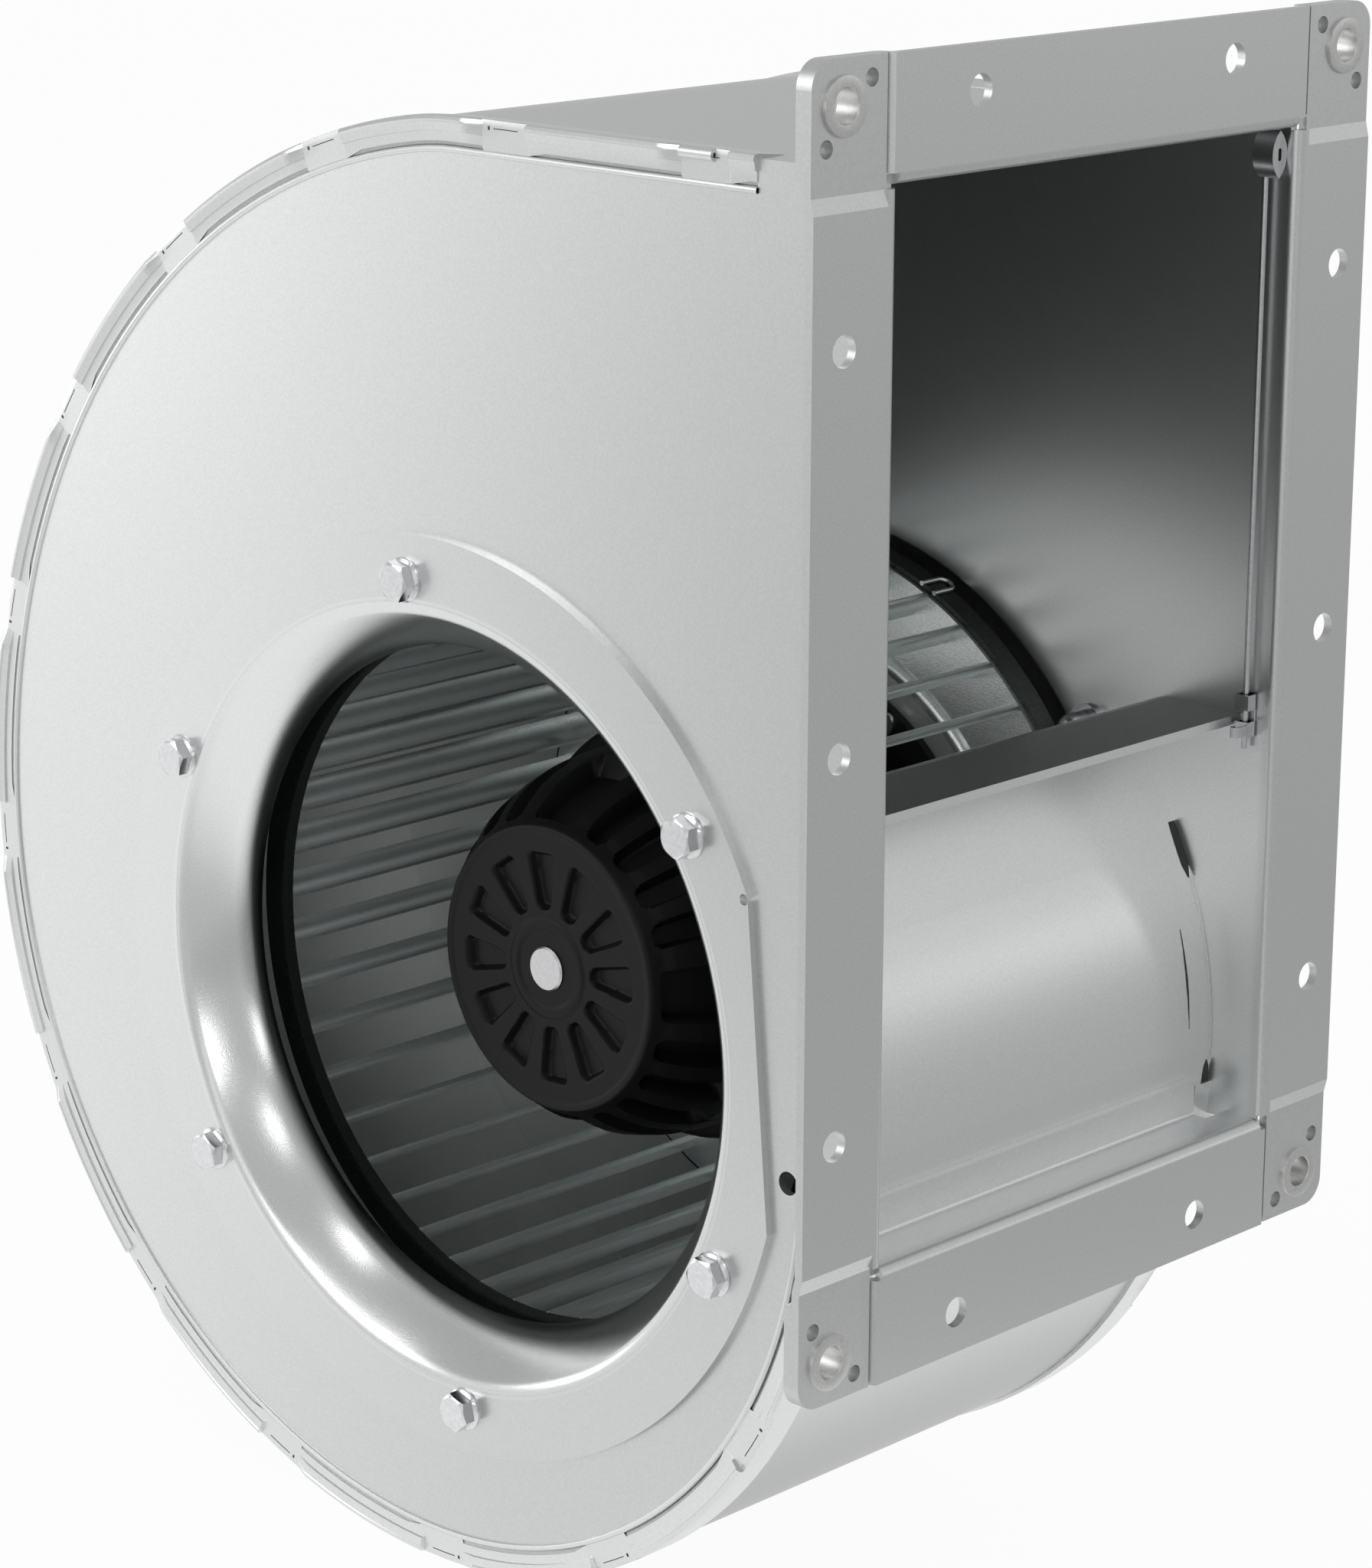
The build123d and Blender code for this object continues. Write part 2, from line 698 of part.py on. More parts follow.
with BuildPart() as impeller_back_ring:
    with BuildSketch(turning_plane):
        with BuildLine():
            Polyline(
                (back_ring_inner_r, disc_back_y),
                (impeller_r, disc_back_y),
                (impeller_r, back_ring_y),
                (impeller_r - impeller_sheet, back_ring_y),
                (impeller_r - impeller_sheet, disc_back_y + impeller_sheet),
                (back_ring_inner_r, disc_back_y + impeller_sheet),
                close=True,
            )
        make_face()
    revolve(axis=wheel_axis)
impeller_back_ring.part.label = "impeller_back_ring"
export_step(impeller_back_ring.part, "parts/impeller_back_ring.step")

# Balance clip, a hairpin of spring sheet pushed over the rim of the back ring
with BuildPart() as balance_clip:
    clip_plane = Plane(
        origin=(axis_x, 0, axis_z),
        x_dir=(cos(radians(balance_clip_angle)), 0, sin(radians(balance_clip_angle))),
        z_dir=(sin(radians(balance_clip_angle)), 0, -cos(radians(balance_clip_angle))),
    )
    with BuildSketch(clip_plane):
        with BuildLine():
            hairpin = Polyline(
                (impeller_r + play, -back_ring_y + balance_clip_length),
                (impeller_r + play, -back_ring_y - play),
                (impeller_r - impeller_sheet - play, -back_ring_y - play),
                (impeller_r - impeller_sheet - play, -disc_back_y - impeller_sheet - play),
            )
            offset(amount=impeller_sheet, side=Side.LEFT)
        make_face()
    extrude(amount=balance_clip_width / 2, both=True)
balance_clip.part.label = "balance_clip"
export_step(balance_clip.part, "parts/balance_clip.step")

# Rotor can: drawn steel, with a front lip for the cap and a rear flange for the back disc
with BuildPart() as rotor_can:
    with BuildSketch(turning_plane):
        with BuildLine():
            flange_front_y = blade_back_y - rotor_wall
            Polyline(
                (rotor_lip_r, rotor_can_front_y),
                (rotor_r, rotor_can_front_y),
                (rotor_r, flange_front_y),
                (rotor_flange_r, flange_front_y),
                (rotor_flange_r, blade_back_y),
                (rotor_r - rotor_wall, blade_back_y),
                (rotor_r - rotor_wall, rotor_can_front_y + rotor_wall),
                (rotor_lip_r, rotor_can_front_y + rotor_wall),
                close=True,
            )
        make_face()
    revolve(axis=wheel_axis)
    fillet(rotor_can.edges().group_by(Axis.Y)[0].sort_by(SortBy.RADIUS)[-1], rotor_wall - play)
    with BuildSketch(wheel_plane.offset(-blade_back_y)):
        with PolarLocations(rotor_rivet_r, rotor_rivet_count):
            Circle(rotor_rivet_d / 2 + play / 2)
    extrude(amount=rotor_wall, mode=Mode.SUBTRACT)
rotor_can.part.label = "rotor_can"
export_step(rotor_can.part, "parts/rotor_can.step")

# Rivets through the rotor's flange and the back disc
with BuildPart() as impeller_rivets:
    for start, length, width in (
        (blade_back_y - rotor_wall - rotor_rivet_head, rotor_rivet_head, rotor_rivet_head_d),
        (blade_back_y - rotor_wall, rotor_wall + impeller_sheet, rotor_rivet_d),
        (blade_back_y + impeller_sheet, rotor_rivet_head, rotor_rivet_head_d),
    ):
        with BuildSketch(wheel_plane.offset(-start)):
            with PolarLocations(rotor_rivet_r, rotor_rivet_count):
                Circle(width / 2)
        extrude(amount=-length)
impeller_rivets.part.label = "impeller_rivets"
export_step(impeller_rivets.part, "parts/impeller_rivets.step")

# Motor cap: a flared die casting with pockets round the hub and vents down its flank
with BuildPart() as motor_cap:
    with BuildSketch(turning_plane):
        with BuildLine():
            flank = ThreePointArc(
                (cap_front_r, cap_front_y + cap_edge),
                (cap_middle_r, cap_middle_y),
                (cap_shoulder_r, cap_shoulder_y),
            )
            Polyline(
                flank @ 1,
                (cap_back_r, rotor_can_front_y),
                (rotor_lip_r, rotor_can_front_y),
                (cap_shoulder_r - cap_wall, cap_shoulder_y),
                (cap_front_r - cap_wall, cap_front_y + cap_floor),
                (cap_boss_r, cap_front_y + cap_floor),
                (cap_boss_r, cap_boss_back_y),
                (cap_bore_r, cap_boss_back_y),
                (cap_bore_r, cap_front_y),
                (cap_front_r - cap_edge, cap_front_y),
                flank @ 0,
            )
        make_face()
    revolve(axis=wheel_axis)
    with BuildSketch(wheel_plane.offset(-cap_front_y)):
        Circle(pocket_outer_r)
        Circle(pocket_inner_r, mode=Mode.SUBTRACT)
        with PolarLocations(pocket_outer_r / 2, pocket_count):
            Rectangle(pocket_outer_r, pocket_rib, mode=Mode.SUBTRACT)
        fillet(vertices(), pocket_fillet)
    extrude(amount=-pocket_depth, mode=Mode.SUBTRACT)
    for number in range(vent_count):
        turn = radians(360 / vent_count * (number + 0.5))
        lean = radians(vent_lean)
        outward = Vector(cos(turn), 0, sin(turn))
        along = outward * sin(lean) + Vector(0, cos(lean), 0)
        normal = outward * cos(lean) - Vector(0, sin(lean), 0)
        seat = Vector(axis_x, cap_middle_y, axis_z) + outward * cap_middle_r
        with BuildSketch(Plane(origin=seat, x_dir=along, z_dir=normal)):
            SlotOverall(vent_length, vent_width)
        extrude(amount=-vent_depth, mode=Mode.SUBTRACT)
        with BuildSketch(Plane(origin=seat, x_dir=along, z_dir=normal)):
            SlotOverall(vent_length, vent_width)
        extrude(amount=vent_depth, mode=Mode.SUBTRACT)
motor_cap.part.label = "motor_cap"
export_step(motor_cap.part, "parts/motor_cap.step")

# Magnet ring inside the rotor can
with BuildPart() as magnet_ring:
    with BuildSketch(wheel_plane.offset(-magnet_front_y)):
        Circle(rotor_r - rotor_wall - play / 2)
        Circle(rotor_r - rotor_wall - magnet_thickness, mode=Mode.SUBTRACT)
    extrude(amount=-magnet_length)
magnet_ring.part.label = "magnet_ring"
export_step(magnet_ring.part, "parts/magnet_ring.step")

# Shaft: its bright end shows in the cap's hub, the rest turns in the two bearings
with BuildPart() as shaft:
    with BuildSketch(turning_plane):
        with BuildLine():
            Polyline(
                (0, cap_front_y - shaft_end_proud),
                (shaft_end_d / 2 - shaft_end_proud, cap_front_y - shaft_end_proud),
                (shaft_end_d / 2, cap_front_y),
                (shaft_end_d / 2, cap_boss_back_y),
                (shaft_d / 2, cap_boss_back_y),
                (shaft_d / 2, shaft_back_y),
                (0, shaft_back_y),
                close=True,
            )
        make_face()
    revolve(axis=wheel_axis)
shaft.part.label = "shaft"
export_step(shaft.part, "parts/shaft.step")

with BuildPart() as shaft_circlip:
    with BuildSketch(wheel_plane.offset(-back_bearing_y - bearing_width - play)):
        Circle(circlip_r)
        Circle(shaft_d / 2 + play / 2, mode=Mode.SUBTRACT)
        with Locations((circlip_r, 0)):
            Rectangle(circlip_r, shaft_d / 3, mode=Mode.SUBTRACT)
    extrude(amount=-circlip_thickness)
shaft_circlip.part.label = "shaft_circlip"
export_step(shaft_circlip.part, "parts/shaft_circlip.step")

# Stator flange: a casting with the bearing tube in front and the cable hub behind
with BuildPart() as stator_flange:
    with BuildSketch(turning_plane):
        with BuildLine():
            flange_front = plate_out - stator_flange_thickness
            hub_back = plate_out + stator_hub_depth
            Polyline(
                (bearing_r + play / 2, stator_tube_front_y),
                (stator_tube_r, stator_tube_front_y),
                (stator_tube_r, flange_front),
                (stator_flange_r, flange_front),
                (stator_flange_r, plate_out),
                (stator_hub_r, plate_out),
                (stator_hub_r, hub_back),
                (bearing_r + play / 2, hub_back),
                (bearing_r + play / 2, back_bearing_y),
                (bearing_r - bearing_lip, back_bearing_y),
                (bearing_r - bearing_lip, front_lip_y),
                (bearing_r + play / 2, front_lip_y),
                close=True,
            )
        make_face()
    revolve(axis=wheel_axis)
    with BuildSketch(wheel_plane.offset(-plate_out)):
        with PolarLocations(stator_screw_r, stator_screw_count, stator_screw_angle):
            Circle(stator_screw_d / 2 + play / 2)
    extrude(amount=stator_flange_thickness, mode=Mode.SUBTRACT)
    with BuildSketch(wheel_plane.offset(-hub_back)):
        with PolarLocations(gland_r, 1, gland_angle):
            Circle(gland_d / 2 + play / 2)
    extrude(amount=stator_hub_depth + stator_flange_thickness, mode=Mode.SUBTRACT)
stator_flange.part.label = "stator_flange"
export_step(stator_flange.part, "parts/stator_flange.step")

with BuildPart() as stator_screws:
    with BuildSketch(wheel_plane.offset(-plate_out - ring_sheet)):
        with PolarLocations(stator_screw_r, stator_screw_count, stator_screw_angle):
            Circle(stator_screw_head_d / 2)
    extrude(amount=-stator_screw_head)
    with BuildSketch(wheel_plane.offset(-plate_out - ring_sheet - stator_screw_head)):
        with PolarLocations(stator_screw_r, stator_screw_count, stator_screw_angle):
            RegularPolygon(stator_screw_socket / 2, 6, major_radius=False)
    extrude(amount=stator_screw_head / 2, mode=Mode.SUBTRACT)
    with BuildSketch(wheel_plane.offset(-plate_out - ring_sheet)):
        with PolarLocations(stator_screw_r, stator_screw_count, stator_screw_angle):
            Circle(stator_screw_d / 2)
    extrude(amount=ring_sheet + stator_flange_thickness)
stator_screws.part.label = "stator_screws"
export_step(stator_screws.part, "parts/stator_screws.step")

# Rubber bush where the supply lead would leave the hub
with BuildPart() as cable_gland:
    with BuildSketch(wheel_plane.offset(-hub_back)):
        with PolarLocations(gland_r, 1, gland_angle):
            Circle(gland_lip_d / 2)
            Circle(gland_hole_d / 2, mode=Mode.SUBTRACT)
    extrude(amount=-gland_lip)
    with BuildSketch(wheel_plane.offset(-hub_back)):
        with PolarLocations(gland_r, 1, gland_angle):
            Circle(gland_d / 2)
            Circle(gland_hole_d / 2, mode=Mode.SUBTRACT)
    extrude(amount=stator_hub_depth)
cable_gland.part.label = "cable_gland"
export_step(cable_gland.part, "parts/cable_gland.step")

# Cap pressed into the hub behind the rear bearing
with BuildPart() as bearing_cover:
    with BuildSketch(wheel_plane.offset(-hub_back)):
        Circle(bearing_r)
    extrude(amount=cover_depth)
    fillet(bearing_cover.edges().group_by(Axis.Y)[-1], cover_depth / 4)
bearing_cover.part.label = "bearing_cover"
export_step(bearing_cover.part, "parts/bearing_cover.step")

# Ball bearings, their shields set back a little between the two rings
for bearing_name, bearing_y in (
    ("front_bearing", stator_tube_front_y),
    ("back_bearing", back_bearing_y),
):
    with BuildPart() as bearing:
        with BuildSketch(wheel_plane.offset(-bearing_y)):
            Circle(bearing_r)
            Circle(shaft_d / 2 + play / 2, mode=Mode.SUBTRACT)
        extrude(amount=-bearing_width)
        for face_y, way in ((bearing_y, -1), (bearing_y + bearing_width, 1)):
            with BuildSketch(wheel_plane.offset(-face_y)):
                Circle(bearing_r - bearing_ring)
                Circle(shaft_d / 2 + bearing_ring, mode=Mode.SUBTRACT)
            extrude(amount=way * shield_depth, mode=Mode.SUBTRACT)
    bearing.part.label = bearing_name
    export_step(bearing.part, f"parts/{bearing_name}.step")

with BuildPart() as preload_washer:
    with BuildSketch(wheel_plane.offset(-stator_tube_front_y - bearing_width)):
        Circle(bearing_r - play)
        Circle(bearing_r - bearing_lip, mode=Mode.SUBTRACT)
    extrude(amount=stator_tube_front_y + bearing_width - front_lip_y)
preload_washer.part.label = "preload_washer"
export_step(preload_washer.part, "parts/preload_washer.step")

# Stator core: a stack of toothed sheets on the bearing tube
with BuildPart() as stator_core:
    with BuildSketch(wheel_plane.offset(-core_front_y)):
        Circle(core_r)
        Circle(stator_tube_r + play / 2, mode=Mode.SUBTRACT)
        with PolarLocations((slot_bottom_r + slot_top_r) / 2, slot_count):
            Rectangle(slot_top_r - slot_bottom_r, slot_width, mode=Mode.SUBTRACT)
        with PolarLocations(slot_top_r, slot_count):
            Rectangle(2 * (core_r - slot_top_r), slot_mouth, mode=Mode.SUBTRACT)
    extrude(amount=-core_length)
stator_core.part.label = "stator_core"
export_step(stator_core.part, "parts/stator_core.step")

# Windings: a bundle in each slot, joined by the turns at both ends
with BuildPart() as windings:
    with BuildSketch(wheel_plane.offset(-core_front_y + winding_overhang)):
        with PolarLocations((slot_bottom_r + slot_top_r) / 2, slot_count):
            Rectangle(slot_top_r - slot_bottom_r - 2 * winding_gap, slot_width - 2 * winding_gap)
    extrude(amount=-core_length - 2 * winding_overhang)
    for end_y in (core_front_y - winding_overhang, core_front_y + core_length + winding_gap):
        with BuildSketch(wheel_plane.offset(-end_y)):
            Circle(slot_top_r - winding_gap)
            Circle(slot_bottom_r + winding_gap, mode=Mode.SUBTRACT)
        extrude(amount=-winding_overhang + winding_gap)
windings.part.label = "windings"
export_step(windings.part, "parts/windings.step")

# Stay rod in the outlet mouth, with its eye at the top and its spring clip on the tongue
stay_clip_z = tongue_top_z - sheet / 2 - stay_clip_height / 2
stay_bottom_z = stay_clip_z - stay_tail
with BuildPart() as stay_rod:
    with BuildSketch(Plane.XY.offset(stay_bottom_z)):
        with Locations((stay_x, stay_y)):
            Circle(stay_d / 2)
    extrude(amount=stay_top_z - stay_bottom_z)
stay_rod.part.label = "stay_rod"
export_step(stay_rod.part, "parts/stay_rod.step")

with BuildPart() as stay_eye:
    with BuildSketch(Plane.YZ.offset(stay_x - stay_eye_back)):
        with BuildLine():
            eye_top = (stay_eye_y, outlet_half_height - stay_eye_drop)
            eye_foot = (stay_eye_y, outlet_half_height - stay_eye_drop - stay_eye_height)
            eye_middle_z = outlet_half_height - stay_eye_drop - stay_eye_height / 2
            ThreePointArc(eye_top, (stay_eye_y - stay_eye_width / 2, eye_middle_z), eye_foot)
            ThreePointArc(eye_foot, (stay_eye_y + stay_eye_width / 2, eye_middle_z), eye_top)
        make_face()
        with Locations((stay_eye_y, eye_middle_z)):
            SlotOverall(stay_eye_hole, stay_eye_slit, rotation=90, mode=Mode.SUBTRACT)
    extrude(amount=stay_eye_back + stay_eye_front)
    with BuildSketch(Plane.XY.offset(outlet_half_height - stay_eye_drop)):
        with Locations((stay_x, stay_y)):
            Circle(stay_d / 2 + play / 2)
    extrude(amount=-stay_eye_height, mode=Mode.SUBTRACT)
stay_eye.part.label = "stay_eye"
export_step(stay_eye.part, "parts/stay_eye.step")

with BuildPart() as stay_clip:
    with BuildSketch(Plane.XY.offset(stay_clip_z)):
        with Locations((stay_x, stay_y)):
            Rectangle(stay_clip_depth, stay_clip_width)
            Rectangle(stay_clip_depth - 2 * stay_clip_sheet, stay_d + 2 * play, mode=Mode.SUBTRACT)
    extrude(amount=stay_clip_height)
    with BuildSketch(Plane.XZ.offset(-stay_y)):
        with Locations((tongue_lip_x, tongue_top_z + play)):
            Rectangle(stay_clip_depth, sheet + 2 * play, align=(Align.MAX, Align.MAX))
    extrude(amount=stay_clip_width, both=True, mode=Mode.SUBTRACT)
stay_clip.part.label = "stay_clip"
export_step(stay_clip.part, "parts/stay_clip.step")
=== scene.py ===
import json
from math import cos, pi, radians, sin, sqrt

import bmesh
import bpy
from mathutils import Matrix, Vector


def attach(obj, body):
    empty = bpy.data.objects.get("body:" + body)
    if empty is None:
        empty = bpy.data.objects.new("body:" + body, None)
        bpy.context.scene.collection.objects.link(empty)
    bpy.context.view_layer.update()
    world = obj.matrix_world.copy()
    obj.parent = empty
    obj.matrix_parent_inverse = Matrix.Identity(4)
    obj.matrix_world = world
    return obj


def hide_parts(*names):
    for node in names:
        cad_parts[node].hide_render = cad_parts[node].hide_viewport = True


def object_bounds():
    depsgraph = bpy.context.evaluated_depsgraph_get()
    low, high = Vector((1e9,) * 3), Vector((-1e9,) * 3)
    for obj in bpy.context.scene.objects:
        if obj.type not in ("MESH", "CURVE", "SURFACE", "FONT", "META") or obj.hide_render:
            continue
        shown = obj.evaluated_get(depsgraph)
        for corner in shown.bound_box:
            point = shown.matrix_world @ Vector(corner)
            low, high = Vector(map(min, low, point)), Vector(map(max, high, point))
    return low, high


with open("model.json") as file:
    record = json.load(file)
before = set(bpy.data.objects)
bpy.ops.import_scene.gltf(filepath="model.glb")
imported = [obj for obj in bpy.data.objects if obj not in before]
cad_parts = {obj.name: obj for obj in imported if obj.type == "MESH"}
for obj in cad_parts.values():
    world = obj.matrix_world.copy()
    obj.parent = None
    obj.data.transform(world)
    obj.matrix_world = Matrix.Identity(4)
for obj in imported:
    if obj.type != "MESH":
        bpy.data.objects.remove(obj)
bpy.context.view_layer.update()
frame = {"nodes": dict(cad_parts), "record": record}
nodes = frame["nodes"]
scene = bpy.context.scene
scene.view_settings.view_transform = "Standard"


# Helpers for node trees
def node_material(name):
    """Make a material and return it with its node tree and shader."""
    material = bpy.data.materials.new(name)
    material.use_nodes = True
    tree = material.node_tree
    return material, tree, tree.nodes["Principled BSDF"]


def own_place(tree):
    """The shaded point in the object's own coordinates, in metres."""
    return tree.nodes.new("ShaderNodeTexCoord").outputs["Object"]


def toward(tree, vector, direction, start, end, low=0.0, high=1.0):
    """Blend from low to high as a vector's reach along a direction goes from start to end."""
    along = tree.nodes.new("ShaderNodeVectorMath")
    along.operation = "DOT_PRODUCT"
    along.inputs[1].default_value = direction
    tree.links.new(vector, along.inputs[0])
    blend = tree.nodes.new("ShaderNodeMapRange")
    blend.interpolation_type = "SMOOTHSTEP"
    blend.inputs["From Min"].default_value = start
    blend.inputs["From Max"].default_value = end
    blend.inputs["To Min"].default_value = low
    blend.inputs["To Max"].default_value = high
    tree.links.new(along.outputs["Value"], blend.inputs["Value"])
    return blend.outputs["Result"]


def combine(tree, operation, first, second):
    """Join two values, each one a socket or a plain number, and return the result."""
    node = tree.nodes.new("ShaderNodeMath")
    node.operation = operation
    for socket, value in zip(node.inputs, (first, second)):
        if isinstance(value, float):
            socket.default_value = value
        else:
            tree.links.new(value, socket)
    return node.outputs["Value"]


def tint(tree, blend_type, first, second, share=None):
    """Join two colours, in full or by a share, and return the result."""
    node = tree.nodes.new("ShaderNodeMix")
    node.data_type = "RGBA"
    node.blend_type = blend_type
    node.inputs["Factor"].default_value = 1.0
    if share is not None:
        tree.links.new(share, node.inputs["Factor"])
    # The node's colour sockets come after those for its other kinds of data
    first_colour, second_colour, result = node.inputs[6], node.inputs[7], node.outputs[2]
    tree.links.new(first, first_colour)
    tree.links.new(second, second_colour)
    return result


# Materials
def speckled(name, low, high, metallic, rough, grain):
    """Make a material whose colour goes between two in fine grains, with its noise."""
    material, tree, shader = node_material(name)
    speckle = tree.nodes.new("ShaderNodeTexNoise")
    speckle.inputs["Scale"].default_value = grain
    speckle.inputs["Detail"].default_value = 2.0
    tree.links.new(own_place(tree), speckle.inputs["Vector"])
    colours = tree.nodes.new("ShaderNodeValToRGB")
    for stop, position, colour in zip(colours.color_ramp.elements, (0.3, 0.7), (low, high)):
        stop.position = position
        stop.color = (*colour, 1)
    tree.links.new(speckle.outputs["Fac"], colours.inputs["Fac"])
    tree.links.new(colours.outputs["Color"], shader.inputs["Base Color"])
    shader.inputs["Metallic"].default_value = metallic
    shader.inputs["Roughness"].default_value = rough
    return material, speckle


def sheet_metal(name, low, high, metallic, rough, grain=1500.0, bump=0.05):
    """Zinc coated sheet: a fine speckle in its colour and in its surface."""
    material, speckle = speckled(name, low, high, metallic, rough, grain)
    tree = material.node_tree
    dents = tree.nodes.new("ShaderNodeBump")
    dents.inputs["Strength"].default_value = bump
    dents.inputs["Distance"].default_value = 0.0002
    tree.links.new(speckle.outputs["Fac"], dents.inputs["Height"])
    tree.links.new(dents.outputs["Normal"], tree.nodes["Principled BSDF"].inputs["Normal"])
    return material


def plain(name, colour, metallic, rough, gloss=0.5):
    """One even colour and gloss, with a trace of grain."""
    low = tuple(part * 0.94 for part in colour)
    high = tuple(min(1.0, part * 1.06) for part in colour)
    material = speckled(name, low, high, metallic, rough, grain=900.0)[0]
    material.node_tree.nodes["Principled BSDF"].inputs["Specular IOR Level"].default_value = gloss
    return material


def paint_light_and_shade(material):
    """Paint light and shade into the casing's sheet: a painted slope of light on the inlet side, painted
    light inside, painted shade underneath.
    """
    tree = material.node_tree
    base = tree.nodes["Principled BSDF"].inputs["Base Color"]
    colour = base.links[0].from_socket
    place = own_place(tree)
    normals = tree.nodes.new("ShaderNodeNewGeometry")

    # Painted light and shade on the outer face of the inlet side: lighter over the scroll, darker by the
    # outlet
    slope = toward(tree, place, (0.9, 0.0, -0.45), start=-0.28, end=0.02, low=1.12, high=0.9)
    facing = toward(tree, normals.outputs["True Normal"], (0, -1, 0), start=0.4, end=0.6)
    near_side = toward(tree, place, (0, -1, 0), start=0.0, end=0.05)
    outer = combine(tree, "MULTIPLY", facing, near_side)

    # Painted light inside: behind the flange and below the casing's top the sheet is made lighter
    behind_flange = toward(tree, place, (-1, 0, 0), start=0.003, end=0.006)
    below_top = toward(tree, place, (0, 0, -1), start=-0.1374, end=-0.1366)
    inside = combine(tree, "MULTIPLY", behind_flange, below_top)
    painted_inner_light = combine(tree, "ADD", combine(tree, "MULTIPLY", inside, 0.13), 1.0)

    # Painted shade on faces that look down, at the foot of the scroll
    down = toward(tree, normals.outputs["Normal"], (0, 0, -1), start=0.2, end=0.8, high=0.54)
    low_part = toward(tree, place, (0, 0, -1), start=0.15, end=0.18)
    left = combine(tree, "SUBTRACT", 1.0, combine(tree, "MULTIPLY", down, low_part))

    # Painted light inside, the painted slope on the inlet side's outer face, then the painted shade
    # below
    painted_inner_tone = tint(tree, "MULTIPLY", colour, painted_inner_light)
    painted_slope_tone = tint(tree, "MULTIPLY", colour, slope)
    painted_tone = tint(tree, "MIX", painted_inner_tone, painted_slope_tone, outer)
    tree.links.new(tint(tree, "MULTIPLY", painted_tone, left), base)
    return material


def paint_throat_shade(material):
    """Paint shade on the bell mouth where its throat faces the fan."""
    tree = material.node_tree
    base = tree.nodes["Principled BSDF"].inputs["Base Color"]
    colour = base.links[0].from_socket
    share = toward(tree, own_place(tree), (0, 1, 0), start=-0.0715, end=-0.0655, low=1.0, high=0.3)
    tree.links.new(tint(tree, "MULTIPLY", colour, share), base)
    return material


# The casing's sheet, the inlet ring and the bell carry painted light and shade, and the bell's throat
# painted shade
looks = {
    "galvanised_sheet": paint_light_and_shade(
        sheet_metal("galvanised_sheet", (0.66, 0.67, 0.67), (0.72, 0.73, 0.73), 1.0, 0.34)
    ),
    "seam_sheet": sheet_metal("seam_sheet", (0.7, 0.71, 0.71), (0.76, 0.77, 0.77), 1.0, 0.3),
    "inlet_ring": paint_light_and_shade(
        sheet_metal("inlet_ring", (0.67, 0.68, 0.68), (0.72, 0.73, 0.73), 1.0, 0.28)
    ),
    "bell": paint_throat_shade(paint_light_and_shade(
        sheet_metal("bell", (0.69, 0.7, 0.7), (0.75, 0.76, 0.76), 1.0, 0.2, grain=2500.0, bump=0.12)
    )),
    "impeller_sheet": sheet_metal(
        "impeller_sheet", (0.7, 0.75, 0.74), (0.88, 0.92, 0.91), 0.8, 0.25, grain=2500.0, bump=0.3
    ),
    "ring_dark": sheet_metal(
        "ring_dark", (0.06, 0.065, 0.065), (0.11, 0.12, 0.12), 1.0, 0.5, grain=2500.0, bump=0.3
    ),
    # The groove look is a mid grey that paints the shade inside the seam's groove
    "groove": plain("groove", (0.5, 0.51, 0.51), 1.0, 0.4),
    # The slit look is black: it paints the shade seen through the seam's gaps and the wrap's notches
    "slit": plain("slit", (0.03, 0.03, 0.03), 0.0, 0.6),
    "zinc_fasteners": plain("zinc_fasteners", (0.74, 0.75, 0.76), 1.0, 0.25),
    "bush": plain("bush", (0.67, 0.67, 0.66), 1.0, 0.36),
    "spring_steel": plain("spring_steel", (0.62, 0.63, 0.64), 1.0, 0.3),
    "rotor_black": plain("rotor_black", (0.006, 0.006, 0.0065), 0.0, 0.42, gloss=0.17),
    "bright_steel": plain("bright_steel", (0.62, 0.62, 0.63), 1.0, 0.3),
    "magnet": plain("magnet", (0.1, 0.1, 0.11), 0.4, 0.5),
    "cast_aluminium": plain("cast_aluminium", (0.62, 0.63, 0.64), 0.9, 0.45),
    "core_steel": plain("core_steel", (0.35, 0.35, 0.37), 0.9, 0.45),
    "copper": plain("copper", (0.6, 0.28, 0.14), 0.9, 0.35),
    "rubber": plain("rubber", (0.03, 0.03, 0.03), 0.0, 0.6),
}

slot_of = {part["node"]: part["material_slot"] for part in frame["record"]["subparts"]}
own_look = {
    "inlet_bell": "bell",
    "impeller_front_ring": "ring_dark",
    "impeller_back_ring": "ring_dark",
    "balance_clip": "spring_steel",
}
for name, node in nodes.items():
    node.data.materials.clear()
    node.data.materials.append(looks[own_look.get(name, slot_of[name])])


# Sizes shared with the CAD, in millimetres
plate_out = 81.15
sheet = 2.5
ring_sheet = 2.0
half_height = 137.7
axis_x, axis_z = -162.9, -103.4
bolt_circle = 118.4
bolt_grip = 9.0
bolt_angles = [34.9 + 60 * number for number in range(6)]
bush_y, bush_z = 97.75, 157.9

# The seam's way round a side plate: a straight top, then bends of (degrees, radius)
seam_start = -44.3
seam_top = 109.0
blend_turn = 8.26
seam_bends = ((blend_turn, 105.5), (90 - blend_turn, 221.0), (90, 186.35), (85.6, 150.3))
seam_runs = [(seam_top, 0.0)] + [(radians(turn) * radius, radius) for turn, radius in seam_bends]
seam_length = sum(length for length, radius in seam_runs)
gap_first = 17.7
gap_pitch = 72.2
gap_half = 8.5
gap_ramp = 4.6

# Radius at which a solid of revolution is closed on its axis
pin = 0.01


